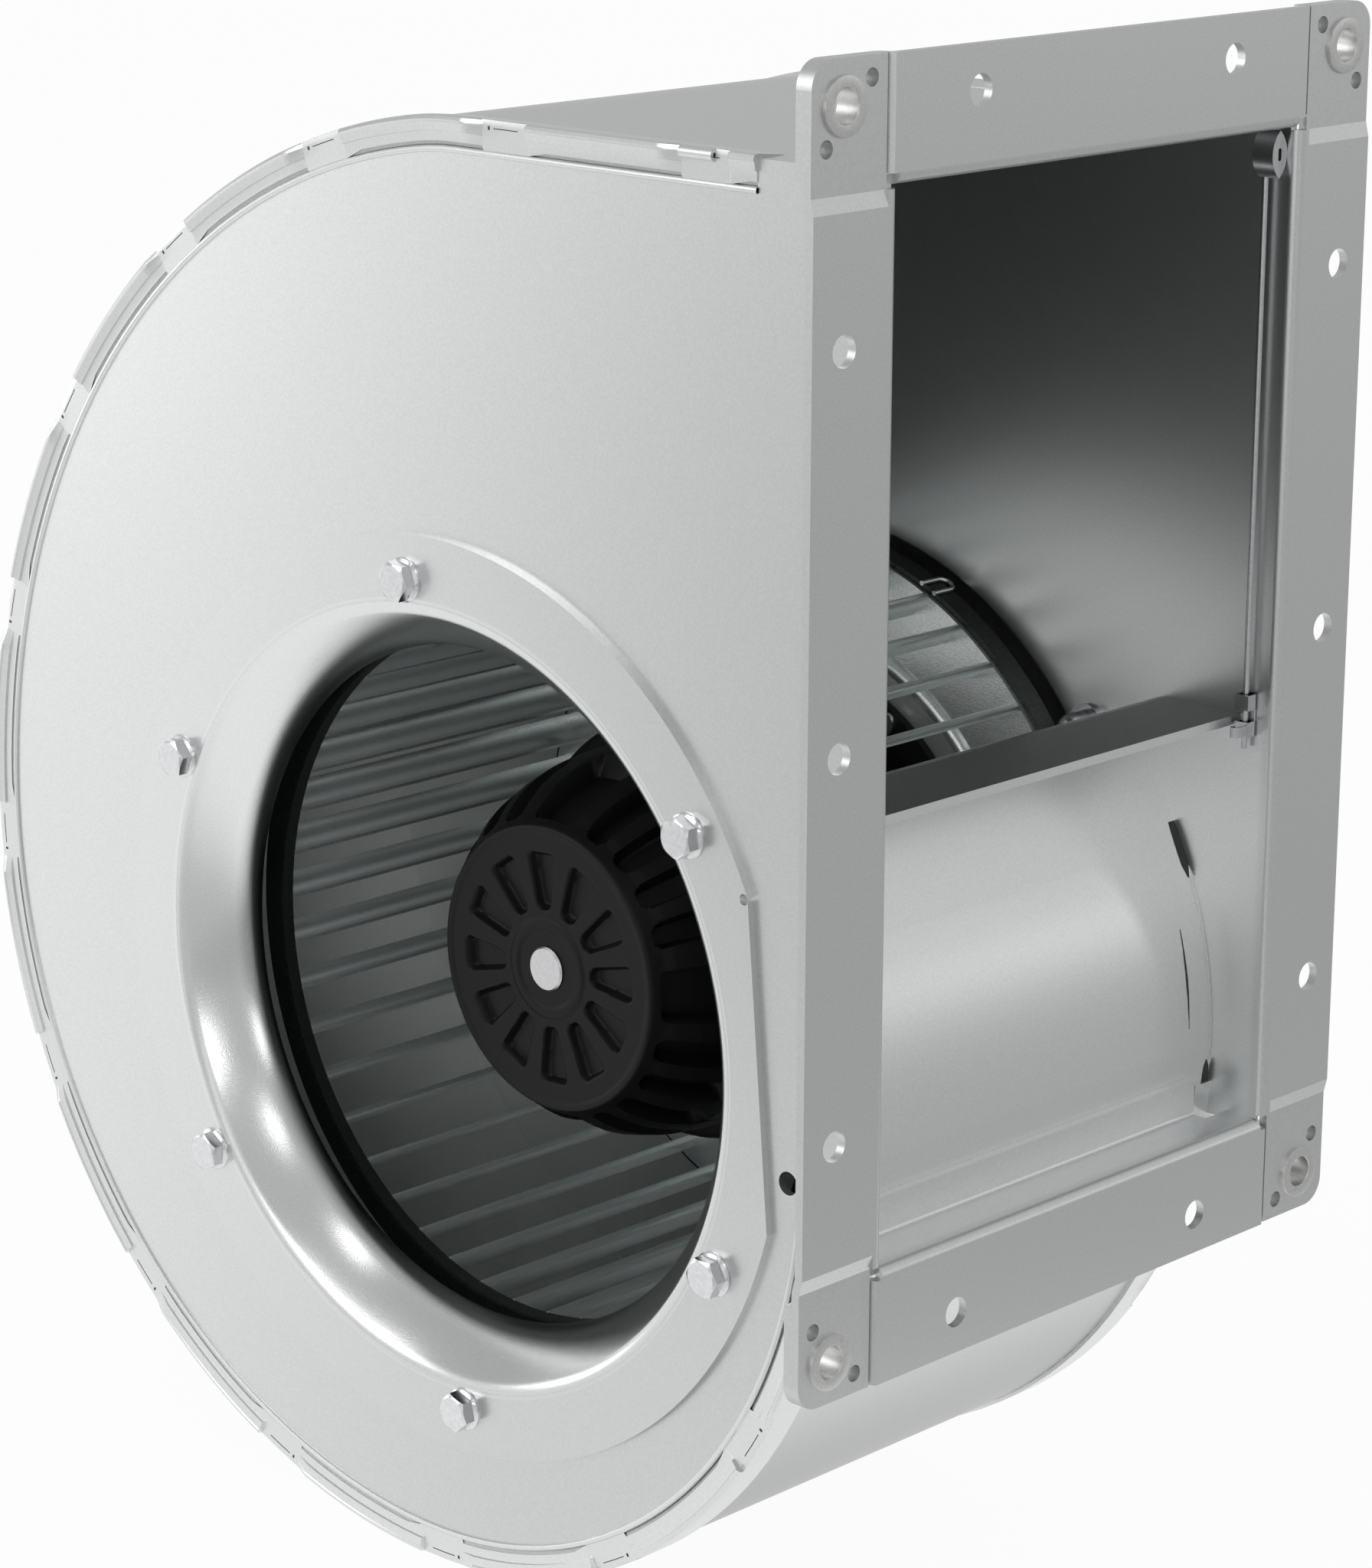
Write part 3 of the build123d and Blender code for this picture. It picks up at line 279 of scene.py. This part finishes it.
# Meshes, drawn in millimetres in the row frame
def piece(name, corners, faces, slot, body, *replaced, look=None, smooth=35):
    """Make one piece, in its slot's look or one of its own."""
    mesh = bpy.data.meshes.new(name)
    mesh.from_pydata([tuple(c / 1000 for c in corner) for corner in corners], [], faces)
    mesh.update()
    bulk = bmesh.new()
    bulk.from_mesh(mesh)
    bmesh.ops.recalc_face_normals(bulk, faces=bulk.faces)
    bulk.to_mesh(mesh)
    bulk.free()
    mesh.shade_smooth()
    mesh.set_sharp_from_angle(angle=radians(smooth))
    mesh.materials.append(looks[look or slot])
    made = bpy.data.objects.new(name, mesh)
    scene.collection.objects.link(made)
    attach(made, body)
    if replaced:
        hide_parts(*replaced)


def loft(rings, closed_run=False):
    """Join equal rings of corners one after the other, and cap the ends of an open run."""
    width = len(rings[0])
    corners = [corner for ring in rings for corner in ring]
    faces = []
    for row in range(len(rings) if closed_run else len(rings) - 1):
        near = row * width
        far = (row + 1) % len(rings) * width
        for place in range(width):
            after = (place + 1) % width
            faces.append((near + place, near + after, far + after, far + place))
    if not closed_run:
        faces.append(tuple(range(width)))
        faces.append(tuple(range(len(corners) - width, len(corners))))
    return corners, faces


def join(parts):
    """Put several sets of corners and faces in one."""
    corners = []
    faces = []
    for some_corners, some_faces in parts:
        base = len(corners)
        corners.extend(some_corners)
        faces.extend(tuple(base + number for number in face) for face in some_faces)
    return corners, faces


def turned_ring(profile, centre, along, side, count):
    """Revolve a profile of (radius, height) points about an axis through centre."""
    along = Vector(along)
    side = Vector(side)
    other = along.cross(side)
    rings = []
    for number in range(count):
        angle = 2 * pi * number / count
        outward = side * cos(angle) + other * sin(angle)
        rings.append([tuple(Vector(centre) + outward * r + along * h) for r, h in profile])
    return loft(rings, closed_run=True)


def wheel_point(radius, angle, y):
    """A point round the fan's axis, at an angle in degrees from +X towards +Z."""
    return (axis_x + radius * cos(radians(angle)), y, axis_z + radius * sin(radians(angle)))


def softly(value, start, end):
    """Go from 0 to 1 smoothly as value goes from start to end."""
    share = min(1.0, max(0.0, (value - start) / (end - start)))
    return share * share * (3 - 2 * share)


# Folded seam of wrap and side plate
def scroll_place(run):
    """Point on the wrap's inner face, run millimetres from the seam's start, and the way outward."""
    heading = pi
    x, z = seam_start, half_height
    for length, bend in seam_runs:
        part = min(run, length)
        if bend:
            centre_x, centre_z = x - bend * sin(heading), z + bend * cos(heading)
            heading += part / bend
            x, z = centre_x + bend * sin(heading), centre_z - bend * cos(heading)
        else:
            x, z = x + part * cos(heading), z + part * sin(heading)
        run -= part
        if run <= 0:
            break
    return (x, z), (sin(heading), -cos(heading))


def seam_section(run, way, outline):
    """Lay an outline of (reach outside the wrap's inner face, height off the plate) on the seam."""
    (x, z), (out_x, out_z) = scroll_place(run)
    return [
        (x + reach * out_x, way * (plate_out + rise), z + reach * out_z) for reach, rise in outline
    ]


def seam_stops():
    """Places along the seam with how far its hem stands up (0 to 1) and how open its groove is."""
    step, last_step, groove_end = 3.0, 4.0, 7.0
    down, foot, foot_stand = 0.3, 0.4, 0.03
    stops = [(0.0, 1.0, 1.0)]
    gap = gap_first
    reach = 0.0
    while reach < seam_length:
        end = min(gap - gap_half, seam_length)
        while reach + last_step < end - groove_end:
            reach += step
            stops.append((reach, 1.0, 1.0))
        if end - groove_end > reach:
            stops.append((end - groove_end, 1.0, 1.0))
        stops.append((end - down, 1.0, 0.0))
        if end == seam_length:
            break
        stops.append((end, 0.0, 0.0))
        stops.append((gap, 0.0, 0.0))
        stops.append((gap + gap_half - foot, 0.0, 0.0))
        stops.append((gap + gap_half, foot_stand, 1.0))
        reach = gap + gap_half + gap_ramp
        stops.append((reach, 1.0, 1.0))
        gap += gap_pitch
    return [stop for stop in stops if stop[0] <= seam_length]


hem_points = (
    (-0.75, 0.15), (-0.6, 0.75), (0.6, 0.95), (1.7, 1.2),
    (2.0, 1.48), (2.5, 1.48), (3.3, 0.95), (3.5, 0.4),
)


def hem_outline(stand, groove, lip):
    """The hem's section: it sinks where it doesn't stand, and closes over the groove in a gap."""
    inner = -3.3 - 1.3 * (1 - groove)
    low = 0.12 + 0.15 * stand
    lip_foot = -9.4
    outline = [(inner, -0.1), (inner, low), (-0.9, low + 0.1 * stand)]
    for reach, rise in hem_points:
        sag = 0.15 * (1 - stand) * max(0.0, reach - 2.4)
        outline.append((reach, low + rise * stand - sag))
    outline += [(3.6, -0.3), (sheet + 0.1 + lip, lip_foot), (sheet, lip_foot), (sheet, -0.1)]
    return outline


def lip_at(run):
    """How far the seam's lip stands off the wrap: flush along the top, full further round."""
    return softly(run, 150.0, 300.0)


roll_middle, roll_half, roll_height, roll_sunk, roll_steps = -5.4, 0.95, 0.82, 0.05, 8
roll_outline = [
    (
        roll_middle + roll_half * cos(pi * step / roll_steps),
        roll_height * sin(pi * step / roll_steps) - roll_sunk,
    )
    for step in range(roll_steps + 1)
]
groove_outline = [(-3.1, -0.25), (-3.3, -0.1), (-4.55, -0.42), (-4.7, -0.9), (-3.1, -0.9)]

# Slits in each gap, drawn as thin black strips of painted shade for the dark seen through them: start
# and end from the gap's middle, then inner and outer reach
slit_places = ((-4.8, 4.2, 1.25, 1.5), (5.6, 6.3, 0.9, 1.9))
slit_height = 0.16


def seam_piece(name, way, replaced):
    """Sweep the folded seam and the roll beside it round one side plate."""
    hem = []
    roll = []
    groove_floor = []
    for run, stand, groove in seam_stops():
        hem.append(seam_section(run, way, hem_outline(stand, groove, lip_at(run))))
        roll.append(seam_section(run, way, roll_outline))
        groove_floor.append(seam_section(run, way, groove_outline))
    folded = join([loft(hem), loft(roll)])
    piece(name, *folded, "seam_sheet", "housing", replaced, smooth=22)
    # The groove's floor carries painted shade
    piece(name + "_groove", *loft(groove_floor), "seam_sheet", "housing", look="groove")
    slits = []
    for number in range(int((seam_length - gap_first) / gap_pitch) + 1):
        middle = gap_first + number * gap_pitch
        for start, end, inner, outer in slit_places:
            outline = ((inner, 0.0), (inner, slit_height), (outer, slit_height), (outer, 0.0))
            runs = (middle + start, middle + (start + end) / 2, middle + end)
            slits.append(loft([seam_section(run, way, outline) for run in runs]))
    # The slits are thin strips of painted shade
    piece(name + "_slits", *join(slits), "seam_sheet", "housing", look="slit")


seam_piece("inlet_seam", -1, "inlet_seam_strip")
seam_piece("motor_seam", 1, "motor_seam_strip")


# Hexagon flange bolts with a chamfered head
def hex_bolt(centre, way, turn):
    """A bolt's head on its seat at centre, standing out along way."""
    along = Vector((0, way, 0))
    side = Vector((cos(radians(turn)), 0, sin(radians(turn))))
    other = along.cross(side)
    count = 96
    half_flats, height, hex_foot, top_r, chamfer = 5.0, 5.0, 1.2, 4.6, 0.62
    washer = ((6.25, 0.0), (6.25, 0.45), (6.0, 0.75))
    rings = [[] for level in range(7)]
    for number in range(count):
        angle = 360 * number / count
        hexagon = half_flats / cos(radians((angle % 60) - 30))
        shoulder = height - max(0.0, hexagon - top_r) * chamfer
        head = ((hexagon, hex_foot), (hexagon, shoulder), (top_r, height), (pin, height))
        outward = side * cos(radians(angle)) + other * sin(radians(angle))
        for ring, (radius, rise) in zip(rings, washer + head):
            ring.append(tuple(Vector(centre) + outward * radius + along * rise))
    return loft(rings)


bolt_radius = 3.0
bolt_turn_step = 17
shank = [(pin, -bolt_grip), (bolt_radius, -bolt_grip), (bolt_radius, 0.0), (pin, 0.0)]
for name, way, replaced in (
    ("inlet_bolts", -1, "inlet_ring_bolts"),
    ("motor_bolts", 1, "motor_plate_bolts"),
):
    bolts = []
    for number, angle in enumerate(bolt_angles):
        seat = wheel_point(bolt_circle, angle, way * (plate_out + ring_sheet))
        bolts.append(hex_bolt(seat, way, angle + bolt_turn_step * number))
        bolts.append(turned_ring(shank, seat, (0, way, 0), (1, 0, 0), count=24))
    piece(name, *join(bolts), "zinc_fasteners", "housing", replaced, smooth=20)


# Motor cap: pockets in its face, and openings round its flank
def rounded(across, half_across, along, half_along, corner):
    """Signed distance to a rounded rectangle, below 0 inside it."""
    a = abs(across) - half_across + corner
    b = abs(along) - half_along + corner
    return sqrt(max(a, 0.0) ** 2 + max(b, 0.0) ** 2) + min(max(a, b), 0.0) - corner


# Openings of the flank: middle and half width in degrees, and corner radius
cap_openings = [(angle, 9.6, 2.5) for angle in (1, 91, 181, 271)]
cap_openings += [
    (angle + quarter, 4.6, 3.3)
    for quarter in (0, 90, 180, 270)
    for angle in (23.4, 38.7, 53.9, 69.2)
]


def face_depth(radius, angle):
    """How deep the cap's face lies behind its foremost plane: raised rings, and 12 pockets."""
    hub_rise, rim_rise = 0.45, 0.35
    pocket_pitch, pocket_turn = 30, 4.3
    pocket_middle, half_length, half_width, flare, corner = 25.4, 8.5, 2.9, 0.17, 2.5
    pocket_depth, pocket_slope = 2.6, 1.5
    depth = hub_rise - hub_rise * softly(radius, 11.2, 11.9) * (1 - softly(radius, 14.0, 15.2))
    depth -= rim_rise * softly(radius, 39.2, 39.8) * (1 - softly(radius, 41.2, 41.8))
    turn = radians((angle - pocket_turn + pocket_pitch / 2) % pocket_pitch - pocket_pitch / 2)
    along, across = radius * cos(turn), radius * sin(turn)
    half_here = half_width + flare * (along - 17.0)
    away = rounded(across, half_here, along - pocket_middle, half_length, corner)
    return depth + pocket_depth * softly(-away, 0.0, pocket_slope)


def flank_depth(radius, y, angle):
    """How deep the openings are cut into the flank."""
    middle_y, half_length, cut, cut_slope = -24.4, 13.4, 5.5, 0.8
    deepest = 0.0
    for middle, half, corner in cap_openings:
        turn = (angle - middle + 180) % 360 - 180
        if abs(turn) < half + 4:
            across, half_across = radius * radians(turn), radius * radians(half)
            away = rounded(across, half_across, y - middle_y, half_length, corner)
            deepest = max(deepest, cut * softly(-away, 0.0, cut_slope))
    return deepest


# The cap's section in (radius, y): its face, its flank in short steps, and its inside
cap_face_y = -40.6
cap_face_radii = [6.6 + 0.5 * step for step in range(70)] + [41.5]
cap_flank = (
    (42.0, -39.6), (44.0, -36.5), (46.0, -34.0), (48.3, -30.5), (50.2, -27.3),
    (51.7, -24.0), (53.2, -20.0), (54.6, -15.0), (55.6, -11.0),
)
cap_inside = (
    (56.0, -9.0), (58.0, 12.0), (53.0, 12.0), (47.0, -9.0),
    (33.0, -30.0), (20.0, -30.0), (20.0, -17.0), (6.6, -17.0),
)
flank_step = 0.55
flank_points = []
for (r0, y0), (r1, y1) in zip(cap_flank, cap_flank[1:]):
    steps = max(2, int(abs(y1 - y0) / flank_step))
    flank_points += [
        (r0 + (r1 - r0) * step / steps, y0 + (y1 - y0) * step / steps) for step in range(steps)
    ]
cap_turns = 480
cap_rings = []
for number in range(cap_turns):
    angle = 360 * number / cap_turns
    ring = [wheel_point(r, angle, cap_face_y + face_depth(r, angle)) for r in cap_face_radii]
    ring += [wheel_point(r - flank_depth(r, y, angle), angle, y) for r, y in flank_points]
    ring += [wheel_point(r, angle, y) for r, y in cap_inside]
    cap_rings.append(ring)
cap = loft(cap_rings, closed_run=True)
piece("motor_cap_detailed", *cap, "rotor_black", "rotor", "motor_cap", smooth=50)

# Bell mouth, in (radius, depth): a tight roll at its outer edge, then a long slope to the throat
bell_face_y = -(plate_out + ring_sheet)
bell_edge, bell_sunk = 113.4, 0.02
roll_start, roll_radius, roll_turn = 113.0, 6.5, 5
throat_r, throat_depth = 97.0, 20.15
slope_start, slope_start_depth, slope_bend_depth = 108.4, 1.88, 13.3
slope_steps = 16
bell_profile = [(bell_edge, -bell_sunk)]
for step in range(10):
    turn = radians(roll_turn * step)
    bell_profile.append((
        roll_start - roll_radius * sin(turn), roll_radius * (1 - cos(turn)) - bell_sunk
    ))
for step in range(1, slope_steps + 1):
    share = step / slope_steps
    near, bend, far = (1 - share) ** 2, 2 * share * (1 - share), share * share
    bell_profile.append((
        slope_start * near + throat_r * (bend + far),
        slope_start_depth * near + slope_bend_depth * bend + throat_depth * far,
    ))
bell_profile += [(99.0, throat_depth), (99.0, 17.5), (109.0, 3.5), (112.0, 1.9), (bell_edge, 1.9)]
bell_turns = 240
bell = loft([
    [wheel_point(r, 360 * number / bell_turns, bell_face_y + depth) for r, depth in bell_profile]
    for number in range(bell_turns)
], closed_run=True)
piece("bell_mouth", *bell, "inlet_ring", "housing", "inlet_bell", look="bell", smooth=50)

# Balance clip: a bent wire hairpin that hugs the back ring's rim, its round end over the edge
hairpin_angle = 65.0
hairpin_r = 111.15
hairpin_wire = 0.75
hairpin_half = 2.6
leg_step = 0.9
hairpin_run = [(-hairpin_half, 66.4 + leg_step * step) for step in range(8)]
for step in range(13):
    turn = radians(15 * step)
    hairpin_run.append((-hairpin_half * cos(turn), 73.4 + hairpin_half * sin(turn)))
hairpin_run += [(hairpin_half, 72.7 - leg_step * step) for step in range(8)]
hairpin = []
for number, (across, y) in enumerate(hairpin_run):
    before = hairpin_run[max(0, number - 1)]
    after = hairpin_run[min(len(hairpin_run) - 1, number + 1)]
    run_across, run_y = after[0] - before[0], after[1] - before[1]
    length = sqrt(run_across * run_across + run_y * run_y)
    ring = []
    for step in range(12):
        turn = 2 * pi * step / 12
        sideways = hairpin_wire * cos(turn)
        off_across = across + sideways * run_y / length
        off_y = y - sideways * run_across / length
        angle = hairpin_angle + off_across / radians(1) / hairpin_r
        ring.append(wheel_point(hairpin_r + hairpin_wire * sin(turn), angle, off_y))
    hairpin.append(ring)
piece("balance_clip_bent", *loft(hairpin), "spring_steel", "rotor", "balance_clip", smooth=50)

# Corner bushes, their heads rolled over at the rim and the bore
bush_profile = [
    (4.3, -7.2), (4.3, -0.2), (4.45, -0.03), (4.7, 0.0), (7.1, 0.0), (7.3, -0.05), (7.4, -0.25),
    (7.4, -1.0), (5.45, -1.0), (5.45, -6.0), (6.7, -6.0), (6.7, -6.9), (6.4, -7.2),
]
bushes = join([
    turned_ring(bush_profile, (0, y, z), (1, 0, 0), (0, 1, 0), count=64)
    for y in (-bush_y, bush_y)
    for z in (-bush_z, bush_z)
])
piece("bushes", *bushes, "zinc_fasteners", "housing", "corner_bushes", look="bush", smooth=40)


# Clinched joint of wrap and side plate, seen under the tongue: open notches drawn as thin black strips
# of painted shade, and a bright edge
heel_x, heel_z = -143.8, -118.0
heel_outer = 125.2


def heel_point(z, y, off):
    """Place on the wrap's outer face: height z, distance y from the mid plane, height off the face."""
    rise = (z - heel_z) / heel_outer
    run = sqrt(1 - rise * rise)
    return (heel_x + (heel_outer + off) * run, y, heel_z + (heel_outer + off) * rise)


def heel_strip(stops, way):
    """A thin solid on the wrap, through stops of (z, near side, far side, height)."""
    return loft([
        [
            heel_point(z, way * near, 0.0),
            heel_point(z, way * near, rise),
            heel_point(z, way * far, rise),
            heel_point(z, way * far, 0.0),
        ]
        for z, near, far, rise in stops
    ])


def spread(top, foot, count):
    """Heights from top to foot in equal steps."""
    return [top + (foot - top) * number / (count - 1) for number in range(count)]


notch_y, slit_y, edge_near, edge_far = 77.3, 68.9, 77.9, 78.6
notch_widths = (0.2, 2.6, 3.0, 3.1, 3.0, 2.7, 0.2)
slit_halves = (0.03, 0.12, 0.22, 0.33, 0.4, 0.33, 0.22, 0.12, 0.03)
notches = []
edges = []
for way in (-1, 1):
    for top, foot in ((-53.0, -72.6), (-124.0, -137.0)):
        heights = spread(top, foot, len(notch_widths))
        notches.append(heel_strip([
            (z, notch_y - 0.52 * width, notch_y + 0.45 * width, 0.14)
            for z, width in zip(heights, notch_widths)
        ], way))
    heights = spread(-85.0, -113.0, len(slit_halves))
    notches.append(heel_strip([
        (z, slit_y - half, slit_y + half, 0.12) for z, half in zip(heights, slit_halves)
    ], way))
    for top, foot in ((-44.0, -53.0), (-72.6, -124.0)):
        heights = spread(top, foot, 13)
        edges.append(heel_strip([
            (z, edge_near, edge_far, 0.1 if z in (heights[0], heights[-1]) else 0.5) for z in heights
        ], way))
piece("wrap_notches", *join(notches), "galvanised_sheet", "housing", look="slit")
piece("wrap_edges", *join(edges), "seam_sheet", "housing", smooth=20)


# Stay clip: two sleeves round the rod on one back wall, and a wing curled over the tongue's lip
clip_low_x, clip_high_x, clip_back_y = -11.4, -7.0, 78.45
clip_wall = 0.5


def box_outline(low_x, high_x, low_y, high_y):
    """Corners of a rectangle in X and Y."""
    return [(low_x, low_y), (high_x, low_y), (high_x, high_y), (low_x, high_y)]


def sleeve(low_z, high_z):
    """A short squared tube standing along Z."""
    front_y = 74.75
    outer = box_outline(clip_low_x, clip_high_x, front_y, clip_back_y)
    inner = box_outline(
        clip_low_x + clip_wall, clip_high_x - clip_wall, front_y + clip_wall, clip_back_y - clip_wall
    )
    levels = ((outer, low_z), (outer, high_z), (inner, high_z), (inner, low_z))
    return loft([[(x, y, z) for x, y in outline] for outline, z in levels], closed_run=True)


def bar(low, high):
    """A small flat bar between two corners, its long edges slightly chamfered."""
    (x0, y0, z0), (x1, y1, z1) = low, high
    c = 0.12
    ring = [
        (x0 + c, y0), (x1 - c, y0), (x1, y0 + c), (x1, y1 - c),
        (x1 - c, y1), (x0 + c, y1), (x0, y1 - c), (x0, y0 + c),
    ]
    return loft([[(x, y, z) for x, y in ring] for z in (z0, z1)])


wing_low_z, wing_high_z = -27.5, -24.6
curl_x, curl_y, curl_inner, curl_outer = -8.3, 71.0, 0.9, 1.3
curl = []
for step in range(13):
    turn = radians(20 * step)
    curl.append([
        (curl_x + radius * cos(turn), curl_y - radius * sin(turn), z)
        for radius, z in (
            (curl_inner, wing_low_z), (curl_outer, wing_low_z),
            (curl_outer, wing_high_z), (curl_inner, wing_high_z),
        )
    ])
clip = join([
    sleeve(-20.8, -16.5),
    sleeve(-28.3, -24.1),
    bar((clip_low_x, clip_back_y - clip_wall, -28.3), (clip_high_x, clip_back_y, -16.5)),
    bar((-7.4, curl_y, wing_low_z), (clip_high_x, 74.9, wing_high_z)),
    loft(curl),
])
piece("stay_clip_bent", *clip, "spring_steel", "housing", "stay_clip", smooth=30)

# Seam clip: a small rolled tube lying in the seam's top edge
tube_z, tube_proud, tube_outer, tube_bore = 139.6, 0.2, 1.7, 0.8
tube_ends = (-70.5, -59.0)
tube_turns = 28
tube_section = (
    (tube_ends[0], tube_outer), (tube_ends[1], tube_outer),
    (tube_ends[1], tube_bore), (tube_ends[0], tube_bore),
)
clip_tube = []
for number in range(tube_turns):
    turn = 2 * pi * number / tube_turns
    clip_tube.append([
        (x, -plate_out + tube_proud + radius * cos(turn), tube_z + radius * sin(turn))
        for x, radius in tube_section
    ])
tube = loft(clip_tube, closed_run=True)
piece("seam_clip_tube", *tube, "seam_sheet", "housing", "seam_clip", smooth=40)


# Floor and backdrop
def seen_directly(tree, share):
    """Give share for rays from the camera, from gloss and through glass, and 0 for the rest."""
    rays = tree.nodes.new("ShaderNodeLightPath").outputs
    gloss = combine(tree, "MAXIMUM", rays["Is Camera Ray"], rays["Is Glossy Ray"])
    glass = combine(tree, "MAXIMUM", gloss, rays["Is Transmission Ray"])
    return combine(tree, "MULTIPLY", glass, share)


def plain_to_camera(tree, strength):
    """Raise a shaded strength to 1 where the camera sees it directly, so the background is plain."""
    rays = tree.nodes.new("ShaderNodeLightPath").outputs
    return combine(tree, "MAXIMUM", strength, rays["Is Camera Ray"])


# In gloss the floor is shaded right of the outlet and in front of the casing
floor_white = 0.95
floor_material, floor_tree, floor_shader = node_material("pale_floor")
floor_shader.inputs["Base Color"].default_value = (floor_white, floor_white, floor_white, 1)
floor_shader.inputs["Roughness"].default_value = 1.0
floor_shader.inputs["Specular IOR Level"].default_value = 0.0
spot = own_place(floor_tree)
right_floor = toward(floor_tree, spot, (1.0, 0.2, 0), start=0.075, end=0.18, low=1.0, high=0.45)
front_floor = toward(floor_tree, spot, (0.6, -0.8, 0), start=0.06, end=0.3, low=1.0, high=0.58)
pale = combine(floor_tree, "MINIMUM", right_floor, front_floor)
glow = floor_tree.nodes.new("ShaderNodeEmission")
floor_tree.links.new(plain_to_camera(floor_tree, pale), glow.inputs["Strength"])
both = floor_tree.nodes.new("ShaderNodeMixShader")
floor_tree.links.new(seen_directly(floor_tree, 0.95), both.inputs["Fac"])
floor_tree.links.new(floor_shader.outputs["BSDF"], both.inputs[1])
floor_tree.links.new(glow.outputs["Emission"], both.inputs[2])
floor_tree.links.new(
    both.outputs["Shader"], floor_tree.nodes["Material Output"].inputs["Surface"]
)
floor_mesh = bpy.data.meshes.new("floor")
floor_reach = 30.0
floor_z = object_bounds()[0].z
floor_mesh.from_pydata(
    [
        (-floor_reach, -floor_reach, floor_z), (floor_reach, -floor_reach, floor_z),
        (floor_reach, floor_reach, floor_z), (-floor_reach, floor_reach, floor_z),
    ],
    [],
    [(0, 1, 2, 3)],
)
floor_mesh.materials.append(floor_material)
floor = bpy.data.objects.new("floor", floor_mesh)
scene.collection.objects.link(floor)

# The backdrop is dimmest behind the casing, bright low in front of it and a little so at the back
back_shade = 0.55
world = bpy.data.worlds.new("studio")
scene.world = world
world.use_nodes = True
world_tree = world.node_tree
backdrop = world_tree.nodes["Background"]
backdrop.inputs["Color"].default_value = (1, 1, 1, 1)
way_out = world_tree.nodes.new("ShaderNodeTexCoord").outputs["Generated"]
around = toward(world_tree, way_out, (-0.7, -0.7, 0), start=-0.1, end=0.6, high=1.0 - back_shade)
upward_fade = toward(world_tree, way_out, (0, 0, 1), start=0.02, end=0.42, low=1.0, high=0.0)
front_left = combine(world_tree, "MULTIPLY", around, upward_fade)
back_right = toward(world_tree, way_out, (0.64, 0.7, 0.3), start=0.78, end=0.95, high=0.12)
bright_sides = combine(world_tree, "ADD", front_left, back_right)
shaded_world = combine(world_tree, "ADD", bright_sides, back_shade)
world_tree.links.new(plain_to_camera(world_tree, shaded_world), backdrop.inputs["Strength"])


# Lamps
def softbox(name, place, aim, size, power):
    """Put a square soft lamp at place, turned to aim."""
    lamp = bpy.data.lights.new(name, "AREA")
    lamp.shape = "SQUARE"
    lamp.size = size
    lamp.energy = power
    holder = bpy.data.objects.new(name, lamp)
    holder.location = place
    holder.rotation_euler = (Vector(aim) - Vector(place)).to_track_quat("-Z", "Y").to_euler()
    scene.collection.objects.link(holder)


softbox("key", (-1.2, -2.2, 1.2), (-0.15, 0.0, -0.05), 1.6, 16.0)
softbox("front_right", (0.84, -1.7, 0.22), (-0.26, -0.08, -0.14), 0.3, 1.0)
softbox("right", (1.57, -0.57, 0.48), (-0.25, -0.07, -0.14), 0.45, 1.3)
softbox("upper_right", (0.91, -1.16, 1.06), (-0.24, -0.07, -0.16), 0.35, 0.8)
softbox("above", (-0.2, -0.84, 1.65), (-0.22, -0.07, -0.2), 0.4, 1.0)
softbox("outlet_side", (1.92, 2.29, 0.32), (-0.026, 0.042, -0.07), 0.3, 0.6)
softbox("left", (-1.82, -0.75, -0.05), (-0.16, -0.08, -0.1), 0.6, 1.5)

# Camera, at the photograph's place
camera_data = bpy.data.cameras.new("camera")
camera_data.lens = 102.08
camera_data.sensor_width = 36.0
camera_data.sensor_fit = "AUTO"
camera = bpy.data.objects.new("camera", camera_data)
scene.collection.objects.link(camera)
scene.camera = camera
azimuth, elevation, roll = radians(44.3518), radians(15.4011), radians(0.19)
camera_place = (0.7027, -0.8697, 0.2810)
back = Vector((sin(azimuth) * cos(elevation), -cos(azimuth) * cos(elevation), sin(elevation)))
level = Vector((cos(azimuth), sin(azimuth), 0.0))
turned = Matrix((level, back.cross(level), back)).transposed().to_4x4()
camera.matrix_world = Matrix.Translation(camera_place) @ turned @ Matrix.Rotation(roll, 4, "Z")
